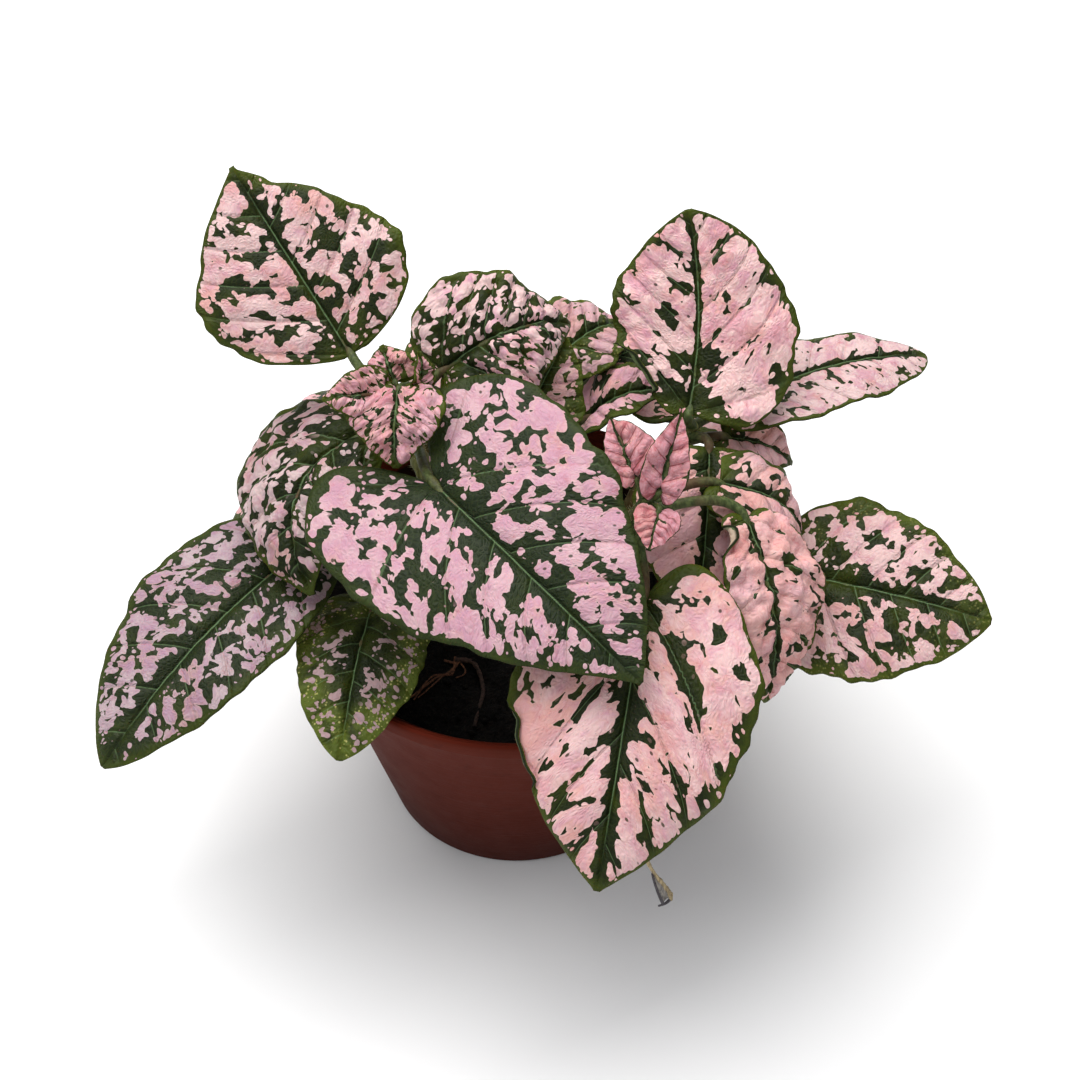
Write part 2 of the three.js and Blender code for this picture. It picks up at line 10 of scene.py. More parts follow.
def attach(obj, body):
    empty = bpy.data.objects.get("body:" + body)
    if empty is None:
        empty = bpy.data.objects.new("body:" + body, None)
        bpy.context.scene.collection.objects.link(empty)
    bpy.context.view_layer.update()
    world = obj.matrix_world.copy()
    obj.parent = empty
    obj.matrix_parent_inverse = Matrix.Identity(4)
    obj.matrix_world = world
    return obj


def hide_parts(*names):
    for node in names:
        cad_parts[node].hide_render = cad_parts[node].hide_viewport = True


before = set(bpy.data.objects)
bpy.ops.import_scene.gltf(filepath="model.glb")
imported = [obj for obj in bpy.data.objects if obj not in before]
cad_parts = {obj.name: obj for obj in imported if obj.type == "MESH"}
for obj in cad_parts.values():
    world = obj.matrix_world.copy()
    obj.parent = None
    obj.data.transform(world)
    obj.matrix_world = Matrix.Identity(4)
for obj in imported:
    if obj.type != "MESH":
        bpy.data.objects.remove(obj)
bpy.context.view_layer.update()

mm = 0.001

for name in ("Cube", "Camera", "Light"):
    if name in bpy.data.objects:
        bpy.data.objects.remove(bpy.data.objects[name])


# Camera first, at the photograph's angle

# mm and degrees: what it looks at, how far back it stands and how steeply it looks down
view = dict(target=(5, 0, 69), back=450, down=46, lens=76.7, nearest=10)

bpy.ops.object.camera_add()
camera = bpy.context.object
tilt = math.radians(view["down"])
aim = Vector(view["target"]) * mm
camera.location = aim + Vector((0, -math.cos(tilt), math.sin(tilt))) * view["back"] * mm
camera.rotation_euler = (math.pi / 2 - tilt, 0, 0)
camera.data.lens = view["lens"]
camera.data.clip_start = view["nearest"] * mm
bpy.context.scene.camera = camera
bpy.context.scene.view_settings.view_transform = "Standard"


# Shader maths: arithmetic on a Value adds the Math nodes

class Value:
    def __init__(self, finish, socket):
        self.finish = finish
        self.socket = socket

    def maths(self, operation, *others, kind="Math", out=0):
        sockets = dict(enumerate((self, *others)))
        return self.finish.node(kind, {"operation": operation}, sockets, out)

    __add__ = __radd__ = partialmethod(maths, "ADD")
    __mul__ = __rmul__ = partialmethod(maths, "MULTIPLY")
    __sub__ = partialmethod(maths, "SUBTRACT")
    __truediv__ = partialmethod(maths, "DIVIDE")
    __abs__ = partialmethod(maths, "ABSOLUTE")

    def __rsub__(self, other):
        return self.finish.node("Math", {"operation": "SUBTRACT"}, {0: other, 1: self})

    def smooth(self, low, high):
        # 0 below low, 1 above high
        settings = {"interpolation_type": "SMOOTHSTEP"}
        return self.finish.node("MapRange", settings, {0: self, 1: low, 2: high, 3: 0.0, 4: 1.0})

    def bell(self, width):
        # 1 at 0, fading out over width
        ratio = self / width
        return self.finish.node("Math", {"operation": "POWER"}, {0: 2.718, 1: ratio * ratio * -1.0})

    def fade(self, low, high):
        # 1 below low, 0 above high
        return 1 - self.smooth(low, high)


class Finish:
    def __init__(self, name, **fixed):
        self.material = bpy.data.materials.new(name)
        self.material.use_nodes = True
        self.tree = self.material.node_tree
        self.shader = self.tree.nodes["Principled BSDF"]
        for socket, value in fixed.items():
            self.shader.inputs[socket.replace("_", " ")].default_value = value

    def node(self, kind, settings=None, sockets=None, out=0):
        made = self.tree.nodes.new("ShaderNode" + kind)
        for key, value in (settings or {}).items():
            setattr(made, key, value)
        for key, value in (sockets or {}).items():
            if isinstance(value, Value):
                self.tree.links.new(value.socket, made.inputs[key])
            else:
                made.inputs[key].default_value = value
        return Value(self, made.outputs[out])

    def both(self, value):
        # every output of the node that value comes from
        return {o.name: Value(self, o) for o in value.socket.node.outputs}

    def attribute(self, name):
        return self.node("Attribute", {"attribute_name": name}, out="Vector")

    def split(self, vector):
        parts = self.both(self.node("SeparateXYZ", None, {0: vector}))
        return parts["X"], parts["Y"], parts["Z"]

    def join(self, x, y, z=0.0):
        return self.node("CombineXYZ", None, {0: x, 1: y, 2: z})

    def noise(self, where, scale, detail=2.0, roughness=0.5, out=0):
        sockets = {"Vector": where, "Scale": scale, "Detail": detail, "Roughness": roughness}
        return self.node("TexNoise", None, sockets, out)

    def where(self):
        return self.node("TexCoord", out="Object")

    def cells(self, where, scale, feature="F1"):
        return self.both(self.node("TexVoronoi", {"feature": feature}, {"Vector": where, "Scale": scale}))

    def mix(self, amount, first, second):
        return self.node("Mix", {"data_type": "RGBA"}, {0: amount, 6: first, 7: second}, out=2)

    def tint(self, amount, first, second):
        # multiplies first by second, as far as amount
        settings = {"data_type": "RGBA", "blend_type": "MULTIPLY"}
        return self.node("Mix", settings, {0: amount, 6: first, 7: second}, out=2)

    def bump(self, height, depth, strength=1.0, over=None):
        sockets = {"Height": height, "Distance": depth, "Strength": strength}
        if over is not None:
            sockets["Normal"] = over
        return self.node("Bump", None, sockets)

    def made(self, colour, roughness, normal):
        for socket, value in (("Base Color", colour), ("Roughness", roughness), ("Normal", normal)):
            self.tree.links.new(value.socket, self.shader.inputs[socket])
        return self.material


def paint(red, green, blue):
    # a colour as seen on a screen, 0 to 255, made linear
    def linear(value):
        value /= 255
        return value / 12.92 if value <= 0.04045 else ((value + 0.055) / 1.055) ** 2.4
    return (linear(red), linear(green), linear(blue), 1)


# Shared modelling steps

def deselect():
    if bpy.context.object and bpy.context.object.mode != "OBJECT":
        bpy.ops.object.mode_set(mode="OBJECT")
    bpy.ops.object.select_all(action="DESELECT")


def pick(piece):
    deselect()
    piece.select_set(True)
    bpy.context.view_layer.objects.active = piece


def joined(pieces):
    pick(pieces[0])
    for piece in pieces[1:]:
        piece.select_set(True)
    if len(pieces) > 1:
        bpy.ops.object.join()
    return bpy.context.object


def dress(piece, material):
    piece.data.materials.clear()
    piece.data.materials.append(material)


def copyOf(first):
    # a copy with its own mesh
    made = first.copy()
    made.data = first.data.copy()
    bpy.context.collection.objects.link(made)
    return made


def added(make, **settings):
    # a new object, made by one of Blender's add steps
    deselect()
    make(**settings)
    return bpy.context.object


def place(piece, name, slot, *nodes):
    piece.name = name
    piece.data.name = name
    pick(piece)
    bpy.ops.object.transform_apply(location=True, rotation=True, scale=True)
    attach(piece, "root")
    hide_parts(*nodes)


def applied(piece, kind, **settings):
    pick(piece)
    modifier = piece.modifiers.new(kind.title(), kind)
    for key, value in settings.items():
        setattr(modifier, key, value)
    bpy.ops.object.modifier_apply(modifier=modifier.name)


def tube(points, radii, finish, sides=3):
    # a round strand through points in mm, with its radius at each
    strand = added(bpy.ops.curve.primitive_nurbs_path_add)
    strand.data.splines.clear()
    spline = strand.data.splines.new("POLY")
    spline.points.add(len(points) - 1)
    for point, place, radius in zip(spline.points, points, radii):
        point.co = (*(Vector(place) * mm), 1)
        point.radius = radius
    strand.data.bevel_depth = mm
    strand.data.bevel_resolution = sides
    strand.data.use_fill_caps = True
    pick(strand)
    bpy.ops.object.convert(target="MESH")
    strand = bpy.context.object
    dress(strand, finish)
    bpy.ops.object.shade_smooth()
    return strand


def smoothRoute(points, count):
    # a curve through all the points, at equal steps of its parameter
    points = [np.array(p, float) for p in points]
    ends = [2 * points[0] - points[1], *points, 2 * points[-1] - points[-2]]
    spans = [max(np.linalg.norm(b - a) ** 0.5, 1e-3) for a, b in zip(ends, ends[1:])]
    route = []
    for step in range(count + 1):
        along = step / count * (len(points) - 1)
        k = min(int(along), len(points) - 2)
        w = along - k
        p0, p1, p2, p3 = ends[k:k + 4]
        d0, d1, d2 = spans[k:k + 3]
        m1 = ((p1 - p0) / d0 - (p2 - p0) / (d0 + d1) + (p2 - p1) / d1) * d1
        m2 = ((p2 - p1) / d1 - (p3 - p1) / (d1 + d2) + (p3 - p2) / d2) * d1
        route.append(
            (2 * w**3 - 3 * w**2 + 1) * p1 + (w**3 - 2 * w**2 + w) * m1
            + (3 * w**2 - 2 * w**3) * p2 + (w**3 - w**2) * m2
        )
    return np.array(route)


def atShare(route, share):
    # the point at a share of the route's length
    lengths = np.concatenate([[0], np.cumsum(np.linalg.norm(np.diff(route, axis=0), axis=1))])
    return np.array([np.interp(share * lengths[-1], lengths, route[:, k]) for k in range(3)])


# Pot

pot = dict(
    height=60, rim=45, rimInner=43.1, collar=3.2, shoulder=42.6, foot=27, wall=1.3, floor=1.6,
    steps=144, drains=6, drain=3, drainCircle=16, drillDepth=12,
    # dark: the painted shade at the foot, and the colour of the specks and marks
    brown=paint(86, 31, 18), dark=paint(62, 18, 7), edge=paint(88, 27, 11), dust=paint(104, 54, 38),
    # a painted shade colour for the inside of the pot
    innerShade=paint(24, 12, 9),
)


def potFinish():
    finish = Finish("pot_plastic", Specular_IOR_Level=0.08)
    where = finish.where()
    x, y, z = finish.split(where)
    height = z / mm
    # moulding lines run round the pot, and painted shade darkens the wall towards its foot
    rings = finish.noise(finish.join(x * 40.0, y * 40.0, z * 2600.0), 1.0, 3.0)
    grain = finish.noise(where, 900.0, 3.0)
    marks = finish.noise(where, 160.0, 5.0, 0.65)
    wall = finish.mix(height.smooth(0.0, 58.0) * 0.7 + rings * 0.3, pot["dark"], pot["brown"])
    scuffed = marks.smooth(0.5, 0.72) * height.smooth(40.0, 50.0) * 0.12
    wall = finish.mix(scuffed, wall, pot["dust"])
    specks = finish.noise(where, 520.0, 2.0).smooth(0.62, 0.72)
    wall = finish.mix(specks * 0.35 + marks.smooth(0.45, 0.7) * 0.25, wall, pot["dark"])
    # painted shade: the inner faces of the pot below the rim are darkened almost to black
    radius = (x * x + y * y).maths("SQRT") / mm
    within = height * ((pot["shoulder"] - pot["foot"]) / pot["height"]) + pot["foot"] - 0.6 - radius
    shadedInside = within.smooth(0.0, 0.4) * height.fade(58.0, 59.6)
    wall = finish.mix(shadedInside * 0.9, wall, pot["innerShade"])
    rimmed = height.smooth(pot["height"] - 0.5, pot["height"] - 0.15)
    colour = finish.mix(rimmed * 0.9, wall, pot["edge"])
    fine = finish.bump(grain, 0.0001, 0.35)
    return finish.made(colour, 0.46 + marks * 0.3 + rings * 0.1, finish.bump(rings, 0.0002, 0.4, fine))


def wallOutside(z):
    # the wall's outer radius at a height
    return pot["foot"] + (pot["shoulder"] - pot["foot"]) * z / pot["height"]


def makePot():
    outside = wallOutside
    inside = lambda z: wallOutside(z) - pot["wall"]
    rim, inner, foot, top, floor = pot["rim"], pot["rimInner"], pot["foot"], pot["height"], pot["floor"]
    under = top - pot["collar"]
    # radius and height, from the middle of the foot up the wall, over the collar and down inside
    profile = [
        (0, 0), (foot - 0.9, 0), (foot - 0.3, 0.15), (foot + 0.1, 0.7), (outside(20), 20), (outside(40), 40),
        (outside(under - 0.6), under - 0.6), (outside(under) + 0.3, under), (rim - 0.6, under),
        (rim - 0.12, under + 0.2), (rim, under + 0.7), (rim, top - 0.8), (rim - 0.15, top - 0.3),
        (rim - 0.6, top), (inner + 0.6, top - 0.1), (inner + 0.1, top - 0.5), (inner - 0.3, top - 1.6),
        (inside(under), under - 0.8), (inside(30), 30), (inside(2.8), 2.8), (inside(1.9) - 0.5, 1.9),
        (inside(floor) - 1.3, floor), (0, floor),
    ]
    body = added(bpy.ops.mesh.primitive_plane_add, size=mm)
    bpy.ops.object.mode_set(mode="EDIT")
    bpy.ops.mesh.merge(type="CENTER")
    # draws the profile from one corner, extruding it point by point
    at = Vector((0, 0, 0))
    for radius, height in profile:
        to = Vector((radius, 0, height)) * mm
        if to != at:
            bpy.ops.mesh.extrude_region_move(TRANSFORM_OT_translate={"value": to - at})
            at = to
    bpy.ops.mesh.select_all(action="SELECT")
    bpy.ops.mesh.spin(steps=pot["steps"], angle=2 * math.pi, center=(0, 0, 0), axis=(0, 0, 1))
    bpy.ops.mesh.select_all(action="SELECT")
    bpy.ops.mesh.remove_doubles(threshold=0.00002)
    bpy.ops.mesh.normals_make_consistent(inside=False)
    bpy.ops.object.mode_set(mode="OBJECT")
    drills = []
    for k in range(pot["drains"]):
        angle = 2 * math.pi * k / pot["drains"]
        spot = (pot["drainCircle"] * mm * math.cos(angle), pot["drainCircle"] * mm * math.sin(angle), 0)
        drills.append(added(bpy.ops.mesh.primitive_cylinder_add, vertices=32, radius=pot["drain"] * mm,
                            depth=pot["drillDepth"] * mm, location=spot))
    drill = joined(drills)
    applied(body, "BOOLEAN", object=drill, operation="DIFFERENCE", solver="EXACT")
    bpy.data.objects.remove(drill)
    dress(body, potFinish())
    pick(body)
    bpy.ops.object.shade_smooth_by_angle(angle=math.radians(40))
    place(body, "pot_shell", "pot", "pot")


makePot()
print("pot made")


# Soil

soil = dict(
    surface=50.5, crown=2.2, lump=0.9, gap=0.3, chamfer=1.6, cells=150,
    clods=260, clod=(0.35, 1.1), seed=5,
    black=paint(6, 5, 4), brown=paint(22, 15, 11),
)


def soilHeight(x, y):
    # the same low crown and soft lumps as the solid below it
    reach = math.hypot(x, y) / pot["shoulder"]
    lumps = math.sin(0.31 * x + 1.3) * math.cos(0.27 * y - 0.4) + 0.6 * math.sin(0.53 * y + 0.37 * x)
    return soil["surface"] + soil["crown"] * (1 - reach**2) + soil["lump"] * lumps * min(1, 2.5 * (1 - reach))


def soilFinish():
    finish = Finish("potting_soil", Specular_IOR_Level=0.15)
    where = finish.where()
    crumbs = finish.noise(where, 900.0, 5.0, 0.7)
    patches = finish.noise(where, 130.0, 3.0)
    fibres = finish.cells(where, 1400.0)["Distance"]
    shade = (crumbs * 0.7 + patches * 0.5).smooth(0.52, 0.86)
    colour = finish.mix(shade, soil["black"], soil["brown"])
    return finish.made(colour, 0.98 - patches * 0.25, finish.bump(crumbs + fibres * 0.5, 0.0012, 0.9))


def makeSoil():
    wallAt = lambda z: wallOutside(z) - pot["wall"] - soil["gap"]
    cells = soil["cells"]
    ground = added(bpy.ops.mesh.primitive_grid_add, x_subdivisions=cells, y_subdivisions=cells, size=2)
    edge = wallAt(soil["surface"])
    for vertex in ground.data.vertices:
        # the square grid is drawn round into a disc
        u, v = vertex.co.x, vertex.co.y
        x, y = edge * u * math.sqrt(1 - v * v / 2), edge * v * math.sqrt(1 - u * u / 2)
        calm = min(1, 6 * (1 - math.hypot(x, y) / edge))
        rough = 0.9 * noise.noise((x * 0.35, y * 0.35, 2)) + 0.7 * noise.noise((x * 0.9, y * 0.9, 7))
        rough += 0.4 * abs(noise.noise((x * 2.1, y * 2.1, 4)))
        vertex.co = Vector((x, y, soilHeight(x, y) + rough * calm - 0.1)) * mm
    bpy.ops.object.mode_set(mode="EDIT")
    bpy.ops.mesh.select_mode(type="EDGE")
    bpy.ops.mesh.select_all(action="DESELECT")
    bpy.ops.mesh.select_non_manifold()
    # its edge is drawn down along the wall to the chamfer, and in to the floor
    bottom, chamfer = pot["floor"] + soil["gap"], soil["chamfer"]
    for drop, size in ((soil["surface"] - bottom - chamfer, wallAt(bottom + chamfer) / edge),
                       (chamfer, (wallAt(bottom) - chamfer) / wallAt(bottom + chamfer))):
        bpy.ops.mesh.extrude_region_move(TRANSFORM_OT_translate={"value": (0, 0, -drop * mm)})
        bpy.ops.transform.resize(value=(size, size, 1), center_override=(0, 0, 0))
    bpy.ops.mesh.edge_face_add()
    bpy.ops.mesh.select_all(action="SELECT")
    bpy.ops.mesh.normals_make_consistent(inside=False)
    bpy.ops.object.mode_set(mode="OBJECT")

    # crumbs that lie on the surface
    draw = random.Random(soil["seed"])
    crumbs = [ground]
    first = added(bpy.ops.mesh.primitive_ico_sphere_add, subdivisions=2, radius=1)
    for _ in range(soil["clods"]):
        angle, reach = draw.uniform(0, 2 * math.pi), edge * 0.95 * math.sqrt(draw.random())
        x, y = reach * math.cos(angle), reach * math.sin(angle)
        size = draw.uniform(*soil["clod"]) * draw.uniform(0.6, 1)
        crumb = copyOf(first)
        turn = draw.uniform(0, 6)
        for vertex in crumb.data.vertices:
            bumped = 1 + 0.45 * noise.noise(vertex.co * 1.7 + Vector((turn * 9, 0, 0)))
            vertex.co *= bumped * size * mm
        crumb.scale = (1, draw.uniform(0.6, 1), draw.uniform(0.5, 0.8))
        crumb.rotation_euler = (draw.uniform(-0.5, 0.5), draw.uniform(-0.5, 0.5), turn)
        crumb.location = Vector((x, y, soilHeight(x, y) + size * 0.3)) * mm
        crumbs.append(crumb)
    bpy.data.objects.remove(first)
    whole = joined(crumbs)
    dress(whole, soilFinish())
    bpy.ops.object.shade_smooth_by_angle(angle=math.radians(50))
    place(whole, "soil_ground", "soil", "soil")


makeSoil()
print("soil made")


# Stems

# where each runs, and its radius at the foot and at the end
stems = {
    "right": ([(9, -6, 34), (12, -12, 62), (18, -19, 88), (23, -23, 101)], 1.9, 1.3),
    "upper_right": ([(15, 5, 34), (19, 6, 62), (28, 4, 86), (33.5, 2, 98)], 1.9, 1.3),
    "left": ([(-8, -6, 34), (-11, -7, 62), (-16, -5, 88), (-19.5, -3, 106)], 2, 1.4),
    "far_left": ([(-16, 2, 34), (-20, 0, 58), (-26, -3, 73), (-29, -4, 80)], 1.8, 1.3),
    "centre": ([(0, 8, 34), (2, 11, 60), (6, 13, 80), (8, 14, 90)], 1.9, 1.3),
    "back": ([(6, 18, 34), (9, 25, 56), (12, 31, 69), (13, 34, 76)], 1.7, 1.1),
    "back_left": ([(-10, 17, 34), (-14, 24, 56), (-18, 28, 67), (-21, 30, 74)], 1.7, 1.1),
}
# knots: swollen joints along a stem, with their size, place and width; hairs in mm
stemLook = dict(
    knots=4, swell=0.28, knotAt=0.35, knotWidth=0.09, hairs=220, hairLength=1.3, hairWidth=0.07, seed=11,
    green=paint(82, 84, 38), pale=paint(122, 124, 74), rust=paint(90, 60, 40),
)


def stemFinish(name, green, pale, rust):
    finish = Finish(name, Specular_IOR_Level=0.25, Subsurface_Weight=0.08, Subsurface_Scale=0.001)
    where = finish.where()
    x, y, z = finish.split(where)
    streaks = finish.noise(finish.join(x * 5.0, y * 5.0, z), 300.0, 3.0)
    blush = finish.noise(where, 110.0, 2.0)
    colour = finish.mix(streaks.smooth(0.35, 0.7), green, pale)
    colour = finish.mix(blush.smooth(0.45, 0.7) * 0.65, colour, rust)
    return finish.made(colour, 0.4 + streaks * 0.25, finish.bump(streaks, 0.0003, 0.5))


stemSkin = stemFinish("stem_skin", stemLook["green"], stemLook["pale"], stemLook["rust"])
hairSkin = stemFinish("stem_hair", paint(150, 156, 112), paint(206, 204, 172), paint(150, 120, 96))
stalkSkin = stemFinish("stalk_skin", paint(52, 64, 28), paint(84, 96, 52), paint(92, 58, 46))
stemRoutes = {name: smoothRoute(route, 60) for name, (route, low, high) in stems.items()}


def stemHairs(route, radii, draw):
    # short pale hairs that stand out from a stem and lean upwards
    length = stemLook["hairLength"] * mm
    wide = stemLook["hairWidth"] * mm
    first = added(bpy.ops.mesh.primitive_cone_add, vertices=3, radius1=wide, depth=length)
    for vertex in first.data.vertices:
        vertex.co.z += length / 2
    first.data.materials.append(hairSkin)
    hairs = []
    for _ in range(stemLook["hairs"]):
        k = draw.randrange(len(route) // 3, len(route) - 1)
        ahead = Vector(route[k + 1] - route[k]).normalized()
        out = Vector([draw.uniform(-1, 1) for _ in range(3)])
        out = (out - ahead * out.dot(ahead)).normalized()
        hair = copyOf(first)
        hair.location = (Vector(route[k]) + out * radii[k] * 0.9) * mm
        hair.rotation_euler = (out + ahead * draw.uniform(0, 0.8)).to_track_quat("Z", "Y").to_euler()
        hair.scale = (1, 1, draw.uniform(0.5, 1))
        hairs.append(hair)
    bpy.data.objects.remove(first)
    return hairs


def makeStems():
    draw = random.Random(stemLook["seed"])
    for name, (_, low, high) in stems.items():
        route = stemRoutes[name]
        radii = []
        for k in range(len(route)):
            share = k / (len(route) - 1)
            knot = (share * stemLook["knots"] + stemLook["knotAt"]) % 1 - 0.5
            swell = stemLook["swell"] * math.exp(-(knot / stemLook["knotWidth"]) ** 2)
            radii.append((low + (high - low) * share) * (1 + swell))
        whole = joined([tube(route, radii, stemSkin, 4), *stemHairs(route, radii, draw)])
        place(whole, f"stem_{name}_skin", "stem", f"stem_{name}")


makeStems()
print("stems made")


# Leaves: every one by the same formula as its solid, in mm, with finer steps, veins and puckers

# the shape of every leaf, unless it says otherwise, in mm and degrees. least: half width at the ends;
# fullness, shoulder and point: its outline from the stalk to the tip; lobe: how far it runs back beside
# the stalk; lift and curl: of each half; wave: of the margin; arch and sway: of the midrib; long and wide:
# mesh steps; stalk: its radius; under: how deep it lies below the blade; ribTo and ribThin: where the
# midrib ends, and how thin; veinStep: between side veins, a share of the length; uneven: of the outline
blade = dict(
    thickness=0.42, least=0.5, fullness=0.06, shoulder=0.4, point=0.85, lobe=0.1, lift=10,
    curl=-20, wave=0.6, arch=0, sway=0, long=66, wide=58, stalk=0.95, under=0.72, ribTo=0.9,
    ribThin=0.14, veinStep=0.185, uneven=0.022,
)
# its looks. cover: share of pink; size, lobes and flow: of its splashes, how large in mm, how lobed and how
# far drawn out along the side veins; shift: another draw of them; dots: small ones in the green; rib, margin
# and foot: green there; stroke and band: green strokes beside the side veins, and their width; line: a dark
# line on each side vein; wine: wine-red ones; silver: greyer green, a painted sheen of light glancing off the
# leaf; dull: 1 is an old leaf; lilac: 0 salmon, 1 lilac; tone: pale clouds; rose: a rosier pink; dim: a
# darker, bluer pink, painted shade for leaves lying in shade; specks: (x, y) of a few red specks; sweep and
# step: how far the side veins arch, and their spacing; quilt and pucker: relief in mm; roll: (half, from, to,
# width) of a rolled margin; nick: (half, where, how far along, depth) in the outline
look = dict(
    cover=0.55, size=5.0, lobes=0.75, flow=0.4, shift=0, dots=0.6, rib=1.2, margin=1.5, foot=0.1, stroke=0.06,
    band=0.9, line=0.25, wine=0.0, silver=0.0, dull=0.0, lilac=0.5, tone=0.5, rose=0.0, dim=0.1, specks=None,
    sweep=0.5, step=1.0, quilt=0.5, pucker=0.25, roll=(), nick=None,
)


def grown(stem, at, base, tip, face, width, **rest):
    # at: where on its stem it grows; base, tip and face: of its blade; width: half of it, or of each half
    return dict(stem=stem, at=at, base=base, tip=tip, face=face, width=width, **rest)


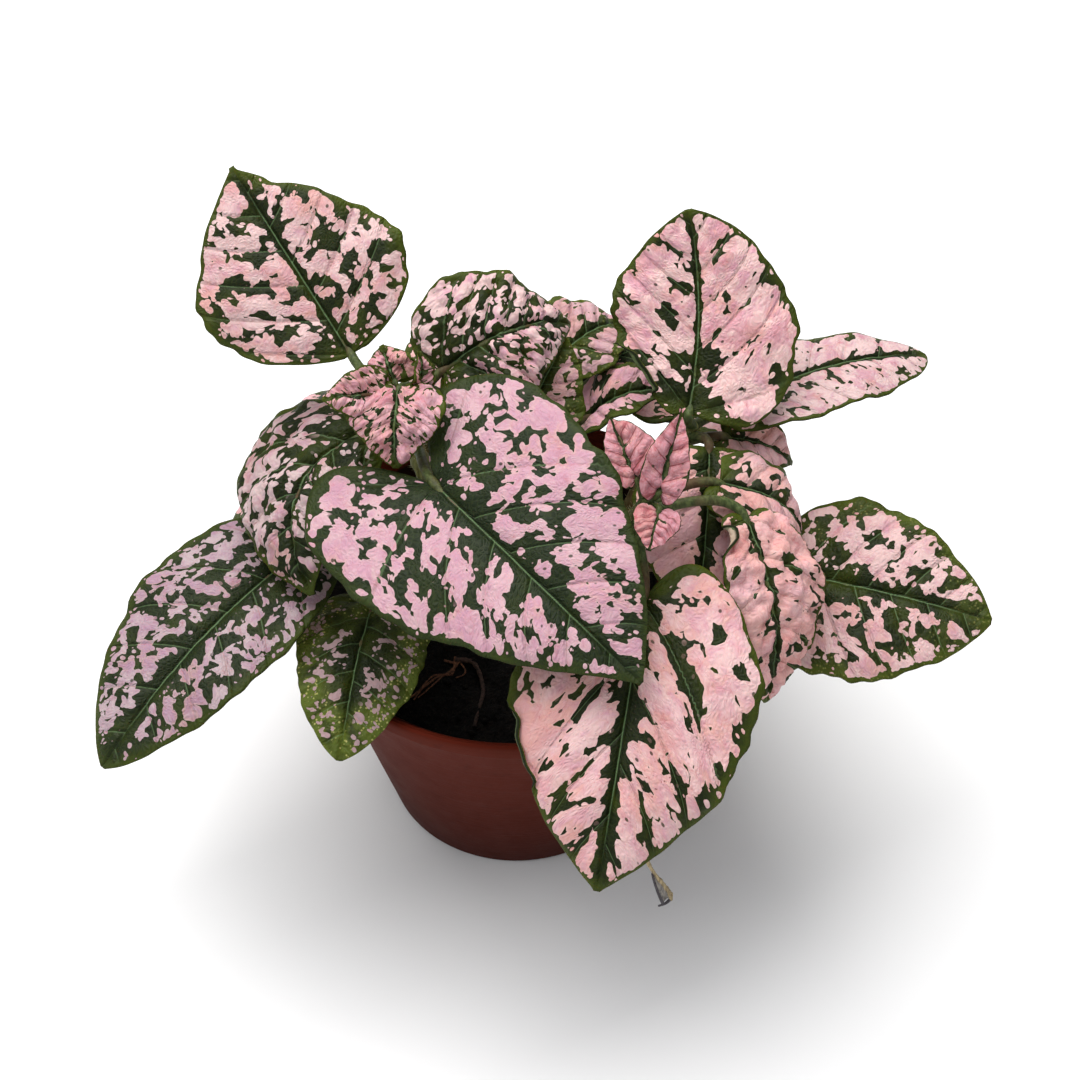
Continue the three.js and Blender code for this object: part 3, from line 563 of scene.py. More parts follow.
leaves = {
    # front and sides, as the photograph shows them
    "front_centre": grown("left", 0.88, (-13.5, -18, 101.5), (22.5, -54, 89), (0, -0.65, 0.75), (26, 25.3),
        lobe=(0.24, 0.33), fullness=0.14, shoulder=(0.4, 0.33), point=(0.85, 1.08), arch=(3, 4),
        lift=(16, 22), curl=(-24, -28), shift=100, cover=0.56, lilac=1, rib=1.1, silver=0.6, foot=0.08,
        quilt=0.4, sweep=0.7, dim=0.35),
    "low_left": grown("far_left", 0.8, (-43, -8, 72), (-76.5, -45, 54.5), (-0.3, -0.4, 0.85), (15, 18.5),
        lobe=0.12, point=0.7, arch=5, lift=15, curl=-25, shift=100, dim=0.7, cover=0.5,
        lilac=0.9, size=2.8, lobes=0.9, dots=1, tone=0.8, silver=0.3, flow=0.3, rib=1.5, quilt=0.3),
    "mid_left": grown("left", 0.85, (-26.5, 2, 97), (-37.5, -22, 77), (-0.6, -0.4, 0.7), (13, 19), lobe=0,
        shoulder=0.5, fullness=0.03, arch=8, sway=5, curl=(-50, -30), dim=0.5, cover=0.5, lilac=0.6,
        size=2.4, tone=1.6, pucker=1, quilt=0.9, flow=0.5, rib=0.7, lobes=1, dots=0.8),
    "old_front": grown("left", 0.45, (-27, -14, 66), (-32, -47, 59), (-0.1, -0.4, 0.9), (13, 12), lobe=0.05,
        point=0.7, arch=(4, 3), dim=0.6, cover=0.3, size=2.2, lobes=1.2, dull=1, lilac=0.7, line=0,
        pucker=0.4, flow=0.3),
    "front_right": grown("right", 0.95, (23.5, -35, 90), (15, -75, 57.5), (0, -0.6, 0.8), (23.3, 22),
        lobe=0.15, fullness=0.1, shoulder=0.6, point=0.9, arch=(4, 5), lift=(15, 12), curl=(-30, -40),
        shift=50, cover=0.77, lilac=0.35, size=4, tone=0.9, stroke=0.26, band=1.5, step=1.5, rib=1.3,
        foot=0.14, quilt=0.8, sweep=1.3, margin=1.8, dots=0.8, specks=(31, -8), roll=((1, 0.4, 0.74, 2.2),)),
    "right_drooping": grown("right", 0.97, (42.5, -19.7, 94.8), (46.5, -40, 67.5), (0.5, -0.6, 0.7),
        (13.8, 9), lobe=0.05, shoulder=0.5, point=0.7, arch=6, curl=(-40, -30), cover=0.88, lilac=0.05,
        size=3.5, line=0.3, stroke=0.1, rib=0.7, quilt=0.6, pucker=1.5, foot=0.02, margin=0.9,
        roll=((1, 0.01, 0.2, 2.6),), rose=0.12),
    "right_behind": grown("right", 0.94, (38, -11.6, 96.2), (54.5, -10, 79.2), (0.5, -0.2, 0.8), (9, 8.4),
        lobe=(0, 0.12), arch=5, curl=-30, dim=0.2, cover=0.88, lilac=0.1, size=3, line=0.4,
        rib=0.6, quilt=0.8, rose=0.08),
    "centre_right": grown("upper_right", 0.95, (36.5, -3, 97), (34, -27, 74), (0.1, -0.65, 0.75), (11.5, 14),
        lobe=0, shoulder=0.5, arch=(4, 3), lift=5, curl=-30, cover=1, lilac=0.15, size=5.5,
        rib=1.7, stroke=0.12, tone=0.3, foot=0.02, margin=0.9),
    "small_right": grown("upper_right", 0.88, (40, 3, 94), (53, 3, 87), (0.3, -0.4, 0.85), (8, 6),
        arch=3, lift=(0, 10), cover=1, lilac=0.2, size=4, line=0.7, rib=0.5, quilt=0.9),
    "upper_right": grown("upper_right", 0.99, (32.5, 0, 103), (32, 22, 133), (0, -0.8, 0.6), (16.2, 18.7),
        lobe=0.03, shoulder=(0.85, 0.45), point=0.76, arch=(-2, -1), sway=2, lift=12,
        curl=(-20, -24), shift=150, dim=0, cover=0.79, tone=1.5, lilac=0.6, size=4.5, flow=0.3, line=0.35,
        stroke=0.1, band=1, rib=0.6, foot=0.12, quilt=0.2, pucker=0.45, margin=1.7, sweep=0.8,
        roll=((0, 0.04, 0.34, 2.4),)),
    "far_right_upper": grown("upper_right", 0.97, (42, 8, 97.5), (79.5, 22, 97.5), (0, 0, 1), (9.5, 11),
        lobe=0.08, point=0.55, arch=4, lift=15, curl=-30, shift=150, dim=0.35, cover=0.84,
        lilac=0.55, size=2.4, rib=0.8, margin=1, tone=2, quilt=0.3),
    "upper_left": grown("left", 0.95, (-30, 8, 110), (-52, 32, 135), (0, -0.75, 0.65), (20, 19.6), lobe=0,
        fullness=0.01, shoulder=(0.85, 0.6), point=(1.05, 1.2), arch=(0, 1), lift=12, curl=(-20, -24),
        shift=200, dim=0.25, tone=1.1, cover=0.58, lilac=0.35, size=3.2, lobes=0.85, flow=0.35, rib=0.9,
        foot=0.06, quilt=0.3, nick=(1, 0.84, 0.035, 1)),
    "upper_middle": grown("left", 0.97, (-13, 5, 109), (10.5, 16, 110.5), (-0.1, -0.5, 0.85), 14, lobe=0.12,
        arch=8, lift=(20, 0), curl=(-20, -40), shift=200, dim=0.25, cover=0.56, lilac=0.8, size=1.4,
        flow=0.6, rib=0.6, step=0.8, pucker=1.1, quilt=1.1, tone=1.8, lobes=1.2, line=0.4, margin=1),
    "behind_middle": grown("centre", 0.98, (9, 19, 100.5), (21.5, 28.5, 100), (0, -0.2, 1), (11, 9),
        arch=3, dim=0.2, cover=0.76, size=2.2, flow=0.5, lobes=1, dull=0.4, pucker=0.4, quilt=0.9),
    "shaded_middle": grown("centre", 0.88, (1, 3, 96), (10, 13, 110), (0, -0.7, 0.7), 10, arch=1,
        cover=0.62, size=2.2, lobes=1, tone=0.6, dull=0.4),
    "inner_right": grown("centre", 0.96, (14.5, 10, 92.5), (30, 8.5, 101), (0, -0.1, 1), 8, lobe=0.2,
        arch=3, lift=30, cover=0.72, lilac=0.8, size=4.5),
    "inner_back": grown("centre", 0.93, (14, 19, 93), (28, 26, 97), (0, -0.1, 1), 9, arch=3, cover=0.7,
        lilac=0.6, size=4.5),
    "far_right_lower": grown("right", 0.6, (53.5, -14, 74), (89, -26, 74), (0, -0.5, 0.87), (17, 18.5),
        lobe=0.12, point=0.75, arch=3, lift=12, curl=-24, shift=50, dim=0.15, dull=0.3,
        cover=0.58, size=3.2, lobes=0.85, flow=0.35, rib=1.5, tone=1.3, quilt=0.4),
    # back and sides
    "left_side": grown("far_left", 0.93, (-37, 4, 82), (-54, 13, 60), (-0.6, 0.2, 0.8), (11, 12), arch=6,
        cover=0.6, size=4.5),
    "right_side": grown("upper_right", 0.7, (41, 6, 74), (60, 12, 52), (0.6, 0.1, 0.8), 14, arch=5,
        cover=0.68, lilac=0.3),
    "back_right_upper": grown("upper_right", 0.93, (32, 15, 88), (42, 46, 74), (0.1, 0.3, 1), (13, 16),
        arch=(5, 6), cover=0.76, lilac=0.3, size=5.5, flow=0.6, stroke=0.14, rib=0.8),
    "back_right_lower": grown("upper_right", 0.8, (33, 24, 78), (48, 48, 56), (0.3, 0.4, 0.9), 15,
        arch=5, cover=0.54, lilac=0.6, size=4.5),
    "inner_left": grown("centre", 0.72, (-4, 16, 84), (-24, 24, 87), (0, -0.1, 1), 11, arch=4,
        cover=0.62, size=4),
    "back_centre": grown("centre", 0.8, (7, 24, 89), (8, 42, 86), (0, 0.3, 1), (12, 9), arch=4,
        cover=0.72, lilac=0.4),
    "back_middle_right": grown("back", 0.95, (17, 40, 79), (26, 62, 54), (0.1, 0.5, 0.9), (17, 16),
        arch=6, cover=0.6, lilac=0.7, size=5.5, rib=1.8),
    "back_middle_left": grown("back", 0.94, (4, 38, 78), (-8, 60, 54), (-0.1, 0.5, 0.9), 15, arch=6,
        cover=0.82, lilac=0.2, size=6, flow=0.7, line=0.6, stroke=0.16, rib=0.8, quilt=0.7),
    "back_left_upper": grown("back_left", 0.93, (-13, 36, 80), (-3, 54, 74), (0, 0.1, 1), 13, arch=4,
        cover=0.62, size=4),
    "back_left_lower": grown("back_left", 0.97, (-20, 38, 70), (-22, 56, 47), (-0.1, 0.5, 0.9), 12,
        arch=6, cover=0.5, lilac=0.7, size=4),
    "back_left_outer": grown("back_left", 0.93, (-35, 29, 74), (-54, 34, 52), (-0.5, 0.3, 0.8), 13,
        arch=6, cover=0.66, lilac=0.4, size=4.5),
}


def pair(value, hand):
    # a value given once, or for the left and right half
    both = value if isinstance(value, tuple) else (value, value)
    return np.where(hand == 0, both[0], both[1])


def unit(vectors):
    return vectors / np.linalg.norm(vectors, axis=-1, keepdims=True)


def midribOf(leaf):
    base, tip = np.array(leaf["base"], float), np.array(leaf["tip"], float)
    axis = tip - base
    length = np.linalg.norm(axis)
    face = np.array(leaf["face"], float)
    normal = unit(face - axis * (face @ axis) / length**2)
    side = unit(np.cross(axis, normal))
    bow = 4 / 3
    arch, sway = np.broadcast_to(leaf["arch"], 2), np.broadcast_to(leaf["sway"], 2)
    mids = [base + axis * (k + 1) / 3 + bow * (normal * arch[k] + side * sway[k]) for k in (0, 1)]
    return [base, *mids, tip], normal, length


def alongMidrib(midrib, t):
    p0, p1, p2, p3 = midrib
    t = np.asarray(t, float)[..., None]
    centre = (1 - t) ** 3 * p0 + 3 * (1 - t) ** 2 * t * p1 + 3 * (1 - t) * t**2 * p2 + t**3 * p3
    tangent = (1 - t) ** 2 * (p1 - p0) + 2 * (1 - t) * t * (p2 - p1) + t**2 * (p3 - p2)
    return centre, unit(tangent)


def halfWidth(leaf, t, hand):
    fullness, shoulder, point = leaf["fullness"], pair(leaf["shoulder"], hand), pair(leaf["point"], hand)
    outline = lambda s: (s + fullness) ** shoulder * np.maximum(1 - s, 0) ** point
    widest = (shoulder - point * fullness) / (shoulder + point)
    width = pair(leaf["width"], hand) * outline(np.clip(t, 0, 1)) / outline(widest)
    turn = 2 * math.pi * (leaf["phase"] + hand * 0.37)
    uneven = np.sin(17 * t + turn) + 0.7 * np.sin(31 * t - 2 * turn) + 0.5 * np.sin(67 * t + 3 * turn)
    width = width * (1 + leaf["uneven"] * uneven * np.sin(math.pi * np.clip(t, 0, 1)) ** 0.5)
    nick = leaf["nick"]
    if nick:
        width = width - np.where(hand == nick[0], nick[3], 0) * np.exp(-((t - nick[1]) / nick[2]) ** 2)
    return np.maximum(width, leaf["least"])


def bladePoints(leaf, t, v):
    # t runs from the stalk, 0, to the tip, 1; v from the left margin, -1, to the right one, 1
    midrib, faceNormal, length = midribOf(leaf)
    q = np.abs(v)
    hand = np.where(v < 0, 0, 1)
    sweep = np.sin(math.pi * 0.8 * q**0.9)
    along = t - pair(leaf["lobe"], hand) * sweep * (1 - t) ** 3
    centre, tangent = alongMidrib(midrib, np.maximum(along, 0))
    centre = centre + tangent * (np.minimum(along, 0) * length)[..., None]
    normal = unit(faceNormal - tangent * (tangent @ faceNormal)[..., None])
    side = np.cross(tangent, normal)
    width = halfWidth(leaf, t, hand)
    start = np.radians(pair(leaf["lift"], hand)) * (1 - 0.6 * t)
    bend = np.radians(pair(leaf["curl"], hand))
    out = (width / bend) * (np.sin(start + bend * q) - np.sin(start))
    ripple = np.sin(math.pi * t) * np.sin(math.pi * (6 * t + 2 * leaf["phase"] + hand))
    rise = (width / bend) * (np.cos(start) - np.cos(start + bend * q)) + leaf["wave"] * q**2 * ripple
    points = centre + side * (np.sign(v) * out)[..., None] + normal * rise[..., None]
    return points, along * length, np.sign(v) * q * width, width


def bladeAt(leaf, t, v):
    return bladePoints(leaf, t, v)[0]


def rolled(leaf, t, v, points, width):
    # a strip along the margin, rolled over on to the upper face
    step, tight, most, fade = 1e-3, 0.55, 2.6, 0.08  # a roll of radius tight, turned through most, in radians
    for half, start, end, wide in leaf["roll"]:
        window = np.clip((t - start) / fade, 0, 1) * np.clip((end - t) / fade, 0, 1)
        strip = wide * window * window * (3 - 2 * window)
        over = strip - (1 - np.abs(v)) * width
        chosen = (over > 0) & ((v > 0) == (half == 1)) & (strip > 0.05)
        sign = 1 if half == 1 else -1
        fold = sign * np.clip(1 - strip / width, 0, 1)
        at = bladeAt(leaf, t, fold)
        out = unit(bladeAt(leaf, t, fold + sign * step) - at)
        ahead = unit(bladeAt(leaf, t + step, fold) - bladeAt(leaf, t - step, fold))
        up = unit(np.cross(out, ahead)) * sign
        angle = np.clip(over / tight, 0, most)
        onward = np.clip(over - tight * most, 0, None)
        side = tight * np.sin(angle) + onward * math.cos(most)
        rise = tight * (1 - np.cos(angle)) + onward * math.sin(most)
        folded = at + out * side[:, None] + up * rise[:, None]
        points = np.where(chosen[:, None], folded, points)
    return points


def veinIndex(leaf, x, y, length, width):
    # whole numbers lie on the side veins, which arch from the midrib towards the tip
    reach = np.abs(y) * (1 + 0.35 * np.abs(y) / np.maximum(width, 1))
    sweep = leaf["sweep"]
    first = math.atan(1 / sweep)
    turned = (np.arctan2(reach, x) - first) / (math.pi - first)
    start = np.where(x > sweep * reach, x - sweep * reach, -turned * 0.4 * length)
    return start / (leaf["veinStep"] * leaf["step"] * length) + np.where(y < 0, 0.0, 0.35)


def bladeMesh(leaf):
    long, wide = leaf["long"], leaf["wide"]
    sheet = added(bpy.ops.mesh.primitive_grid_add, x_subdivisions=wide, y_subdivisions=long, size=2)
    count = len(sheet.data.vertices)
    flat = np.empty(count * 3)
    sheet.data.vertices.foreach_get("co", flat)
    u, s = flat.reshape(-1, 3)[:, 0], (flat.reshape(-1, 3)[:, 1] + 1) / 2
    v = np.sign(u) * np.abs(u) ** 1.1
    t = np.clip(s - 0.06 * np.sin(2 * math.pi * s) / 2, 0, 1)
    points, x, y, width = bladePoints(leaf, t, v)
    step = 1e-3
    ahead = bladeAt(leaf, np.minimum(t + step, 1), v) - bladeAt(leaf, np.maximum(t - step, 0), v)
    across = bladeAt(leaf, t, np.clip(v + step, -1, 1)) - bladeAt(leaf, t, np.clip(v - step, -1, 1))
    normal = unit(np.cross(across, ahead))
    length = midribOf(leaf)[2]
    q = np.abs(v)
    veins = veinIndex(leaf, x, y, length, width)
    # edge is the distance to the outline, in mm
    foot = t * length * 0.8 + 3 * np.maximum(0, 1 - q * 6)
    edge = np.minimum(np.minimum((1 - q) * width, (1 - t) * length), foot)
    calm = np.clip(q * 8, 0, 1) * np.clip(edge / 2.5, 0.25, 1)
    relief = leaf["quilt"] * np.sin(math.pi * veins) ** 2 * calm * np.clip(width / 16, 0.25, 1)
    relief -= 0.45 * np.exp(-(y / 1.3) ** 2) * np.clip(4 * (1 - t), 0, 1)
    seed = leaf["phase"] * 50
    pucker = np.array([
        noise.noise((a * 0.34, b * 0.34, seed)) + 0.6 * noise.noise((a * 0.8, b * 0.8, seed + 9))
        for a, b in zip(x, y)
    ])
    relief += leaf["pucker"] * pucker * np.clip(edge / 1.5, 0.4, 1)
    points = rolled(leaf, t, v, points + normal * relief[:, None], width)
    sheet.data.vertices.foreach_set("co", (points * mm).ravel())
    sheet.data.update()
    bpy.ops.object.shade_smooth()
    applied(sheet, "SOLIDIFY", thickness=leaf["thickness"] * mm, offset=0, use_even_offset=False)
    total = len(sheet.data.vertices)
    upper = np.arange(total) < count
    plan = np.column_stack([np.tile(x, 2), np.tile(y, 2), upper.astype(float)])
    course = np.column_stack([np.tile(veins, 2), np.tile(edge, 2), np.tile(t, 2)])
    for name, values in (("plan", plan), ("course", course)):
        made = sheet.data.attributes.new(name, "FLOAT_VECTOR", "POINT")
        made.data.foreach_set("vector", values.astype(np.float32).ravel())
    return sheet


def stalkMesh(leaf, start):
    midrib = midribOf(leaf)[0]
    base = midrib[0]
    reach = np.linalg.norm(base - start)
    ahead = alongMidrib(midrib, 0.0)[1]
    rise = np.array([0, 0, 0.12 * reach])
    bends = [start, start + (base - start) * 0.35 + rise, base - ahead * 0.35 * reach, base]
    route = alongMidrib(bends, np.linspace(0, 1, 15))[0]
    size = leaf["stalk"]
    radii = [size * (1 + 0.35 * math.exp(-k / 1.5)) for k in range(15)]
    # and on below the blade as its midrib
    t = np.linspace(0.04, leaf["ribTo"], 14)
    middle = np.full_like(t, 1e-4)
    below = bladeAt(leaf, t, middle)
    sideways = bladeAt(leaf, t, np.full_like(t, 0.02)) - below
    onward = bladeAt(leaf, t + 0.01, middle) - below
    normal = unit(np.cross(sideways, onward))
    ribs = size + (leaf["ribThin"] - size) * (t / leaf["ribTo"]) ** 0.6
    route[-1] -= normal[0] * 0.4 * size
    route = np.vstack([route, below - normal * (ribs * leaf["under"] + 0.42)[:, None]])
    return tube(route, [*radii, *ribs], stalkSkin, 2)


pinks = dict(
    salmon=paint(216, 161, 153), lilac=paint(206, 152, 168), pale=paint(228, 192, 188),
    rose=paint(178, 92, 98), wine=paint(92, 36, 34), speck=paint(120, 40, 40), old=paint(158, 134, 134),
    dim=(0.35, 0.5, 0.55, 1),
)
greens = dict(
    deep=paint(22, 30, 7), bright=paint(74, 86, 14), silver=paint(28, 39, 22), rib=paint(100, 126, 84),
    old=paint(80, 92, 30), freckle=paint(176, 172, 104),
)
unders = dict(green=paint(96, 112, 72), pink=paint(204, 176, 158))
# weights of what cuts the splashes out of the green, the level they have to pass, and how far the green of
# the midrib, the margin and the foot lifts it
splashes = dict(
    broad=0.62, ragged=0.3, even=0.09, lobes=0.16, bend=2.6, level=0.46, gain=0.25,
    rib=0.34, margin=0.3, footLong=0.25, footWide=7.0,
)


def leafFinish(name, leaf, seed):
    finish = Finish(name, Specular_IOR_Level=0.15, Subsurface_Weight=0.06, Subsurface_Scale=0.0015)
    x, y, upper = finish.split(finish.attribute("plan"))
    veins, edge, t = finish.split(finish.attribute("course"))
    reach = abs(y)
    hand = y.maths("SIGN")
    spacing = leaf["spacing"]
    mix = finish.mix

    # splashes: patches with lobed outlines, more or less drawn out along the side veins
    plan = finish.attribute("plan")
    across = x + (veins * spacing - x) * leaf["flow"]
    flow = finish.join(across, reach * (1 - 0.3 * leaf["flow"]) + hand * 90.0, seed)
    shake = finish.noise(flow, 0.25, 1.0, out=1).maths("SUBTRACT", (0.5, 0.5, 0.5), kind="VectorMath")
    bend = (splashes["bend"], splashes["bend"], 0)
    bent = shake.maths("MULTIPLY_ADD", bend, flow, kind="VectorMath")
    broad = finish.noise(bent, 1.0 / leaf["size"], 1.0)
    ragged = finish.noise(bent, 0.55, 1.5)
    lobes = finish.cells(bent, leaf["lobes"])["Distance"]
    field = broad * splashes["broad"] + ragged * splashes["ragged"] + splashes["even"]
    field = field - lobes * splashes["lobes"]

    # green follows the midrib, strokes along the side veins, the margin and the leaf's foot
    toVein = veins.maths("PINGPONG", 0.5) * spacing
    broken = finish.noise(finish.join(veins * 3.0, reach * 0.22 + hand * 40.0, seed + 5.0), 1.0, 1.0)
    broken = (broken + leaf["stroke"] * 0.25).smooth(0.51, 0.61)
    level = leaf["level"] + reach.bell(leaf["rib"]) * splashes["rib"]
    level = level + toVein.bell(leaf["band"]) * broken * leaf["stroke"]
    foot = t.bell(splashes["footLong"]) * reach.bell(splashes["footWide"])
    level = level + edge.bell(leaf["margin"] * 0.6) * splashes["margin"] + foot * leaf["foot"]
    splash = (field - level).smooth(-0.006, 0.006)
    lineBreaks = finish.noise(flow, 0.18, 1.0).smooth(0.46, 0.54)
    line = toVein.fade(0.05, 0.2) * lineBreaks * leaf["line"]
    splash = splash * (1 - line) * reach.smooth(leaf["rib"] * 0.2, leaf["rib"] * 0.4)

    # dots in the green near the margin, and dark flecks in the pink
    dots = finish.cells(bent, 0.6)
    size, luck, _ = finish.split(dots["Color"])
    dot = (dots["Distance"] - size * 0.12).fade(0.14, 0.2) * luck.smooth(0.32, 0.34)
    dot = dot * (1 - edge.smooth(3.0, 9.0) * 0.7) * edge.smooth(0.4, 0.7) * reach.smooth(0.9, 1.5)
    splash = splash.maths("MAXIMUM", (dot * leaf["dots"] * 1.6).smooth(0.3, 0.7))
    flecks = finish.cells(flow, 0.45)
    chance = finish.split(flecks["Color"])[0]
    fleck = flecks["Distance"].fade(0.1, 0.17) * chance.smooth(0.6, 0.64)
    splash = splash * (1 - fleck * 0.85)

    # pinks
    soft = finish.noise(flow, 0.09, 2.0)
    within = (field - level).smooth(0.0, 0.12)  # splashes are more salmon at their edges
    cool = soft * 2.0 + within * 0.5 - 1.25 + leaf["lilac"]
    warm = mix(cool.smooth(0.0, 1.0), pinks["salmon"], pinks["lilac"])
    cloudy = (soft * 0.5 + finish.noise(bent, 0.45, 3.0, 0.6) * 0.5).smooth(0.4, 0.62)
    pink = mix(cloudy * leaf["tone"], warm, pinks["pale"])
    netting = finish.cells(bent, 1.3, "DISTANCE_TO_EDGE")["Distance"]
    net = netting.fade(0.0, 0.09)
    fine = finish.noise(bent, 1.7, 3.0)
    blush = net * 0.18 + fine.smooth(0.45, 0.8) * 0.3 + finish.noise(bent, 0.3, 2.0).smooth(0.5, 0.75) * 0.25
    if leaf["rose"]:
        blush = blush + (1 - toVein.smooth(0.0, 0.6) * 0.35) * leaf["rose"]
    pink = mix(blush.smooth(0.0, 1.0), pink, pinks["rose"])
    wine = toVein.fade(0.04, 0.16) * leaf["wine"] * (1 - edge.bell(1.2))
    pink = mix(wine, pink, pinks["wine"])
    outline = (field - level).bell(0.018)
    pink = mix(outline * 0.4, pink, pinks["pale"])
    # painted shade: the pink of leaves lying in shade is darkened towards a cool blue-grey
    pink = finish.tint(leaf["dim"], pink, pinks["dim"])
    if leaf["specks"]:
        # a cluster of dark red specks
        speck = finish.cells(plan, 1.1)
        near = finish.join((x - leaf["specks"][0]) / 4.0, (y - leaf["specks"][1]) / 3.0)
        near = near.maths("LENGTH", kind="VectorMath", out="Value").bell(1.0)
        speck = speck["Distance"].fade(0.08, 0.2) * near.smooth(0.2, 0.5)
        pink = mix(speck * 0.8, pink, pinks["speck"])

    # greens
    # the margin is a brighter olive green, partly its own colour and partly painted light shining through the
    # thin edge
    rim = edge.bell(1.9) * (1 - leaf["wine"])
    patchy = finish.noise(flow, 0.16, 3.0).smooth(0.45, 0.7)
    green = mix(rim * 0.5 + patchy * 0.25, greens["deep"], greens["bright"])
    # painted sheen: a greyer green stands in for light glancing off the leaf's surface
    green = mix(leaf["silver"], green, greens["silver"])
    green = mix(net * 0.12, green, greens["bright"])
    if leaf["dull"]:
        faded = (edge.bell(7.0) + t.smooth(0.6, 1.0)).smooth(0.2, 1.0)
        faded = finish.noise(flow, 0.3, 3.0).smooth(0.3, 0.6) * faded
        green = mix(faded * leaf["dull"], green, greens["old"])
        freckle = finish.cells(plan, 1.5)
        lucky = finish.split(freckle["Color"])[0].smooth(0.3, 0.35)
        freckle = freckle["Distance"].fade(0.15, 0.4) * lucky * faded.smooth(0.3, 0.6)
        green = mix(freckle * leaf["dull"] * 0.75, green, greens["freckle"])
        pink = mix(0.75 * leaf["dull"], pink, pinks["old"])
    ridge = reach.fade(0.06, 0.2) * t.fade(0.6, 0.95) * (1 - leaf["wine"])
    hairline = toVein.fade(0.05, 0.2) * (1 - edge.bell(3.0))
    green = mix(ridge * 0.7 + hairline * 0.4, green, greens["rib"])
    pink = mix(hairline * 0.25, pink, pinks["rose"])
    top = mix(splash, green, pink)

    # undersides: the same splashes, paler and duller
    below = mix(splash * 0.75, unders["green"], unders["pink"])
    below = mix(toVein.fade(0.15, 0.5) * 0.4 + ridge * 0.4, below, greens["rib"])
    below = mix(edge.fade(0.3, 1.0), below, greens["deep"])
    colour = mix(upper.smooth(0.4, 0.6), below, top)
    roughness = 0.42 + fine * 0.22 + splash * 0.06 + (1 - upper) * 0.2

    # small quilting between the finest veins, with the side veins and midrib sunk in
    quilt = netting.smooth(0.0, 0.5)
    sunk = toVein.smooth(0.0, 0.9) + reach.smooth(0.0, 0.8)
    raised = finish.bump(quilt, 0.00018, 0.7)
    return finish.made(colour, roughness, finish.bump(sunk + fine * 0.2, 0.0005, 0.6, raised))


def makeLeaf(name, leaf, start, seed):
    leaf = {**blade, **look, **leaf}
    leaf["spacing"] = leaf["veinStep"] * leaf["step"] * midribOf(leaf)[2]
    # the noise's spread turns the pink share into the level that it has to pass
    leaf["level"] = splashes["level"] - splashes["gain"] * (leaf["cover"] - 0.5)
    sheet = bladeMesh(leaf)
    sheet.data.materials.append(leafFinish(f"{name}_skin", leaf, seed + leaf["shift"]))
    return [sheet, stalkMesh(leaf, start)]


# from leaf to leaf: the shift of its waves, in turns, and of its splashes
leafStep = dict(phase=0.62, seed=3.7)
for index, (name, leaf) in enumerate(leaves.items()):
    leaf["phase"] = leafStep["phase"] * index % 1
    start = atShare(stemRoutes[leaf["stem"]], leaf["at"])
    whole = joined(makeLeaf(f"leaf_{name}", leaf, start, leafStep["seed"] * index))
    place(whole, f"leaf_{name}_fine", "leaf", f"leaf_{name}")
print("leaves made:", len(leaves))


# Young leaves round the growing points

crumpled = dict(
    cover=0.78, size=1.1, flow=0.6, line=0.4, rib=0.4, margin=0.5, step=0.6, quilt=0.3, pucker=1.5, dots=0,
    foot=0.04, tone=0.4, rose=0.25, lobes=1.6, dim=0.2,
)
smooth = dict(
    cover=1.15, lilac=0.4, size=2.5, line=0.2, rib=0.25, margin=0.3, wine=0.8, quilt=0.35, pucker=1.1, dots=0,
    foot=0.02, tone=0.3, rose=0.5, dim=0.2,
)
youngBlade = dict(wave=0.3, long=34, wide=36, thickness=0.34, stalk=0.57, under=0.95)
youngStep = dict(phase=0.3, firstSeed=200, seed=7.1)
# the bud at a stem's end: heights above its foot, with a radius at each, and where the leaves leave it
bud = dict(
    heights=(-0.4, 0.4, 1.2, 1.9, 2.6, 3.1, 3.4), radii=(1.0, 1.25, 1.4, 1.2, 0.85, 0.5, 0.2), foot=0.3,
    leavesAt=1.2,
)
shoots = {
    "left": [
        dict(base=(-22.5, -3.5, 110.5), tip=(-34, -8, 113.5), face=(0, -0.6, 0.8), width=5.5, arch=2),
        dict(base=(-21.5, 0, 110.5), tip=(-24, 5, 115), face=(0, -0.8, 0.6), width=5, arch=1),
        dict(base=(-20.5, -4, 112.5), tip=(-21, -14.5, 103), face=(-0.1, -0.6, 0.8), width=9, lobe=0.15,
             arch=4),
        dict(base=(-18, -1, 111), tip=(-17, 1, 117), face=(0.6, -0.8, 0), width=3, arch=(1, 2), lift=50),
    ],
    "right": [
        dict(base=(26, -24.5, 106.5), tip=(30, -15.5, 118.5), face=(0, -0.7, 0.7), width=4.4, lobe=0.12,
             point=1.2, shoulder=0.5, arch=1, lift=30),
        dict(base=(26, -27, 104.5), tip=(24, -34.5, 102), face=(0, -0.5, 0.86), width=4.3, lobe=0.15,
             arch=1),
        dict(base=(22, -22, 107.3), tip=(17.5, -13, 113.5), face=(0, -0.7, 0.7), width=(4, 6), arch=1,
             lift=35),
    ],
    "far_left": [],
    "back_left": [
        dict(base=(-23, 29.5, 77), tip=(-28, 29, 83), face=(0.5, 0, 0.85), width=4, arch=1),
        dict(base=(-19.5, 32, 77.5), tip=(-16, 35, 84), face=(-0.5, 0, 0.85), width=4, arch=1),
    ],
}

for point, group in shoots.items():
    route = stemRoutes[point]
    onward = unit(route[-1] - route[-2])
    foot = route[-1] + onward * bud["foot"]
    pieces = [tube([foot + onward * height for height in bud["heights"]], bud["radii"], stalkSkin, 4)]
    looks = smooth if point == "right" else crumpled
    for index, leaf in enumerate(group):
        young = {**youngBlade, **looks, **leaf, "phase": youngStep["phase"] * index}
        start = foot + onward * bud["leavesAt"]
        seed = youngStep["firstSeed"] + youngStep["seed"] * index
        pieces += makeLeaf(f"young_{point}_{index}", young, start, seed)
    place(joined(pieces), f"young_leaves_{point}_fine", "leaf", f"young_leaves_{point}")
print("young leaves made")


# Dried stalk over the rim, and the bare roots

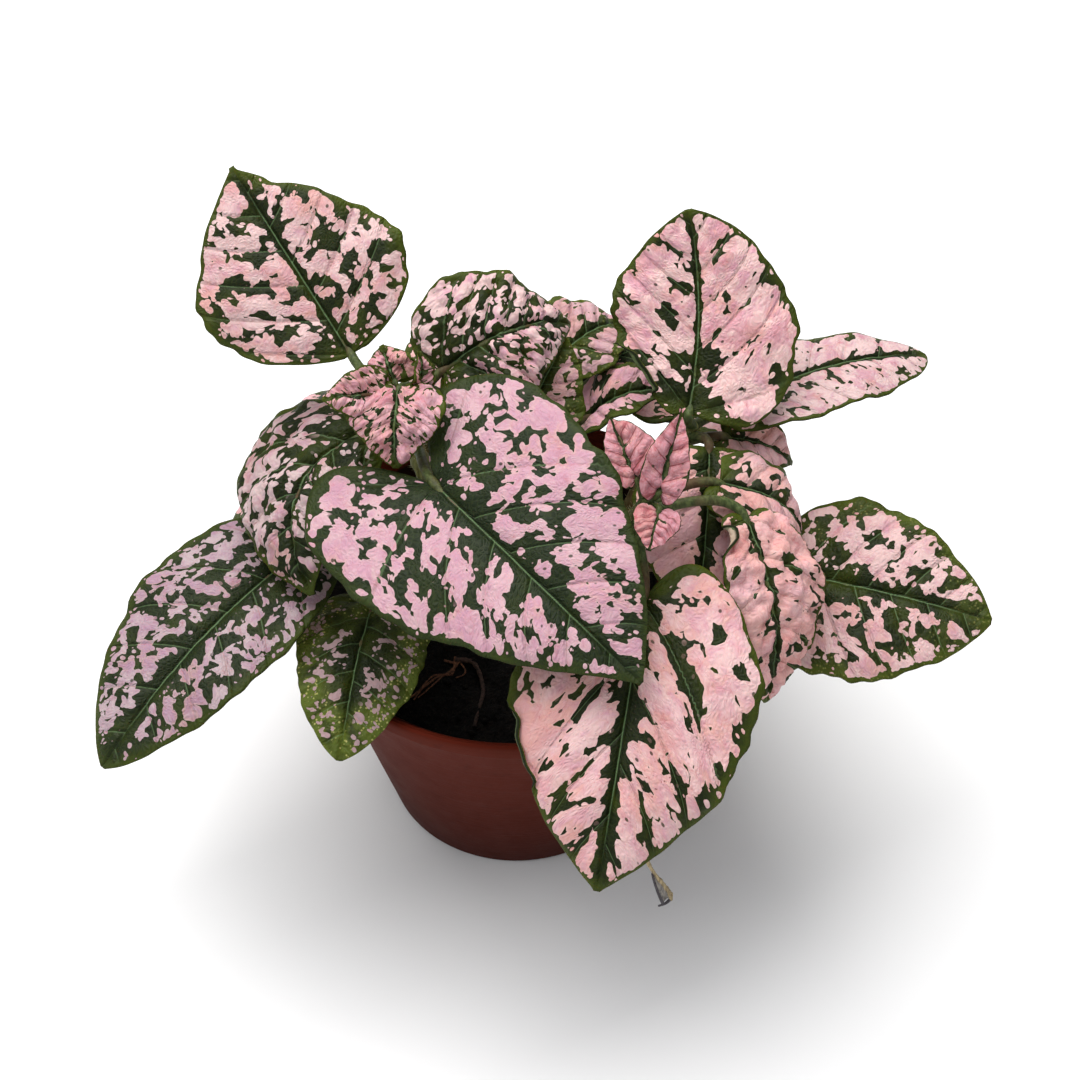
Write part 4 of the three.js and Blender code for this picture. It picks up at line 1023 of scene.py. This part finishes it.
dry = dict(
    tan=paint(198, 178, 138), brown=paint(62, 40, 26), slate=paint(96, 92, 96), dark=paint(44, 34, 34),
    film=paint(188, 182, 172), root=paint(126, 84, 60), rootDark=paint(48, 29, 21), oldRoot=paint(74, 54, 46),
    oldRootDark=paint(34, 23, 19),
)


def dryFinish(name, light, dark):
    finish = Finish(name, Specular_IOR_Level=0.3)
    where = finish.where()
    x, y, z = finish.split(where)
    fibres = finish.noise(finish.join(x * 4.0, y * 4.0, z * 0.6), 700.0, 4.0, 0.6)
    patches = finish.noise(where, 260.0, 3.0)
    colour = finish.mix((fibres * 0.7 + patches * 0.5).smooth(0.4, 0.8), dark, light)
    return finish.made(colour, 0.7 + patches * 0.25, finish.bump(fibres, 0.0006, 0.9))


def makeDriedStalk():
    skin = dryFinish("dried_stalk_skin", dry["tan"], dry["brown"])
    dark = dryFinish("dried_flap_skin", dry["slate"], dry["dark"])
    film = dryFinish("dried_film_skin", dry["film"], dry["slate"])
    route = [
        (13, -25, 46), (16.5, -33, 57), (20, -41, 62.5), (22, -46.5, 60), (23.6, -49.5, 48),
        (25.3, -51, 34.5), (26.9, -51, 29.7), (29.2, -51, 25.2), (30.4, -51.2, 22.6), (30.5, -51.6, 21.4),
    ]
    radius = [0.6, 0.6, 0.6, 0.6, 0.55, 0.5, 0.38, 0.5, 0.55, 0.4]
    fine = smoothRoute(route, 90)
    radii = np.interp(np.linspace(0, 1, 91), np.linspace(0, 1, len(radius)), radius)
    wrinkled = [r * (0.85 + 0.4 * noise.noise((k * 0.45, 3, 1))) for k, r in enumerate(radii)]
    strands = [tube(fine, wrinkled, skin, 3)]
    # a dried flap along its lower end, hooked at the tip
    flap = [(26.6, -51.2, 29.5), (27.2, -51.4, 26.6), (28.1, -51.8, 23.4), (28.9, -51.9, 20.9)]
    flap = smoothRoute(flap, 24)
    strands.append(tube(flap, np.linspace(0.22, 0.34, 25), dark, 3))
    hook = smoothRoute([(30.4, -51.6, 21.7), (29.4, -51.9, 20.7), (28.1, -52, 20)], 16)
    strands.append(tube(hook, np.linspace(0.34, 0.2, 17), dark, 3))
    sheet = added(bpy.ops.mesh.primitive_grid_add, x_subdivisions=4, y_subdivisions=24, size=2)
    for vertex in sheet.data.vertices:
        across, down = (vertex.co.x + 1) / 2, (vertex.co.y + 1) / 2
        left = atShare(flap, down)
        right = atShare(fine, 0.87 + 0.12 * down)
        hollow = np.array([0, 0.5, -0.3]) * math.sin(math.pi * across) * (0.3 + down)
        vertex.co = Vector(left + (right - left) * across + hollow) * mm
    sheet.data.materials.append(film)
    applied(sheet, "SOLIDIFY", thickness=0.16 * mm, offset=0)
    strands.append(sheet)
    place(joined(strands), "dried_stalk_fine", "dry", "dried_stalk")


def makeRootlets():
    skin = dryFinish("rootlet_skin", dry["root"], dry["rootDark"])
    old = dryFinish("old_root_skin", dry["oldRoot"], dry["oldRootDark"])
    # where each runs on the soil, its thickness and its skin
    routes = [
        ([(-11, -16.3), (-12.4, -19), (-15.4, -22), (-20, -25.6)], 0.3, skin),
        ([(-11.6, -16), (-12.2, -19.6), (-16, -21.6), (-19.4, -26.2)], 0.26, skin),
        ([(-10.4, -16.6), (-13, -19.4), (-15, -22.6), (-18.6, -25.8)], 0.22, skin),
        ([(-11.5, -16.5), (-8, -17.5), (-6, -23.5), (-7.5, -33)], 0.55, old),
        ([(-13.8, -16.4), (-12, -17), (-10.6, -17)], 0.3, skin),
        ([(-10.6, -17), (-9.6, -19), (-11.4, -20.4)], 0.2, skin),
    ]
    strands = []
    for index, (plan, size, finish) in enumerate(routes):
        flat = smoothRoute([(x, y, 0) for x, y in plan], 40)
        lying = [
            (x, y, soilHeight(x, y) + 0.45 + 0.2 * noise.noise((x * 0.7, y * 0.7, index))) for x, y, _ in flat
        ]
        radii = [size * (0.95 - 0.3 * k / 40 + 0.3 * noise.noise((k * 0.5, index, 2))) for k in range(41)]
        strands.append(tube(lying, radii, finish, 2))
    place(joined(strands), "rootlets_fine", "dry", "rootlets")


makeDriedStalk()
makeRootlets()
print("dry pieces made")


# Floor and soft studio light

# in metres
studio = dict(
    floorSize=4, floor=(0.86, 0.86, 0.86, 1), aim=(0, 0, 0.08), sky=(0.92, 0.95, 1.0, 1), skyPower=0.4,
)
floor = added(bpy.ops.mesh.primitive_plane_add, size=studio["floorSize"])
floor.name = "floor"
pale = Finish("pale_floor", Base_Color=studio["floor"], Roughness=0.9, Specular_IOR_Level=0.2)
floor.data.materials.append(pale.material)

lights = [
    dict(name="above", at=(-0.15, 0.25, 1.1), size=1.1, power=20, colour=(1.0, 0.985, 0.97)),
    dict(name="left", at=(-0.9, -0.35, 0.7), size=0.8, power=2.3, colour=(0.95, 0.97, 1.0)),
    dict(name="front", at=(0.45, -1.0, 0.75), size=0.9, power=1.6, colour=(1.0, 0.98, 0.96)),
]
for lamp in lights:
    made = added(bpy.ops.object.light_add, type="AREA", location=lamp["at"])
    made.name = "light_" + lamp["name"]
    made.data.size = lamp["size"]
    made.data.energy = lamp["power"]
    made.data.color = lamp["colour"]
    made.rotation_euler = (Vector(studio["aim"]) - made.location).to_track_quat("-Z", "Y").to_euler()

world = bpy.data.worlds.new("studio")
bpy.context.scene.world = world
world.use_nodes = True
sky = world.node_tree.nodes["Background"]
sky.inputs["Color"].default_value = studio["sky"]
sky.inputs["Strength"].default_value = studio["skyPower"]

print("scene ready")
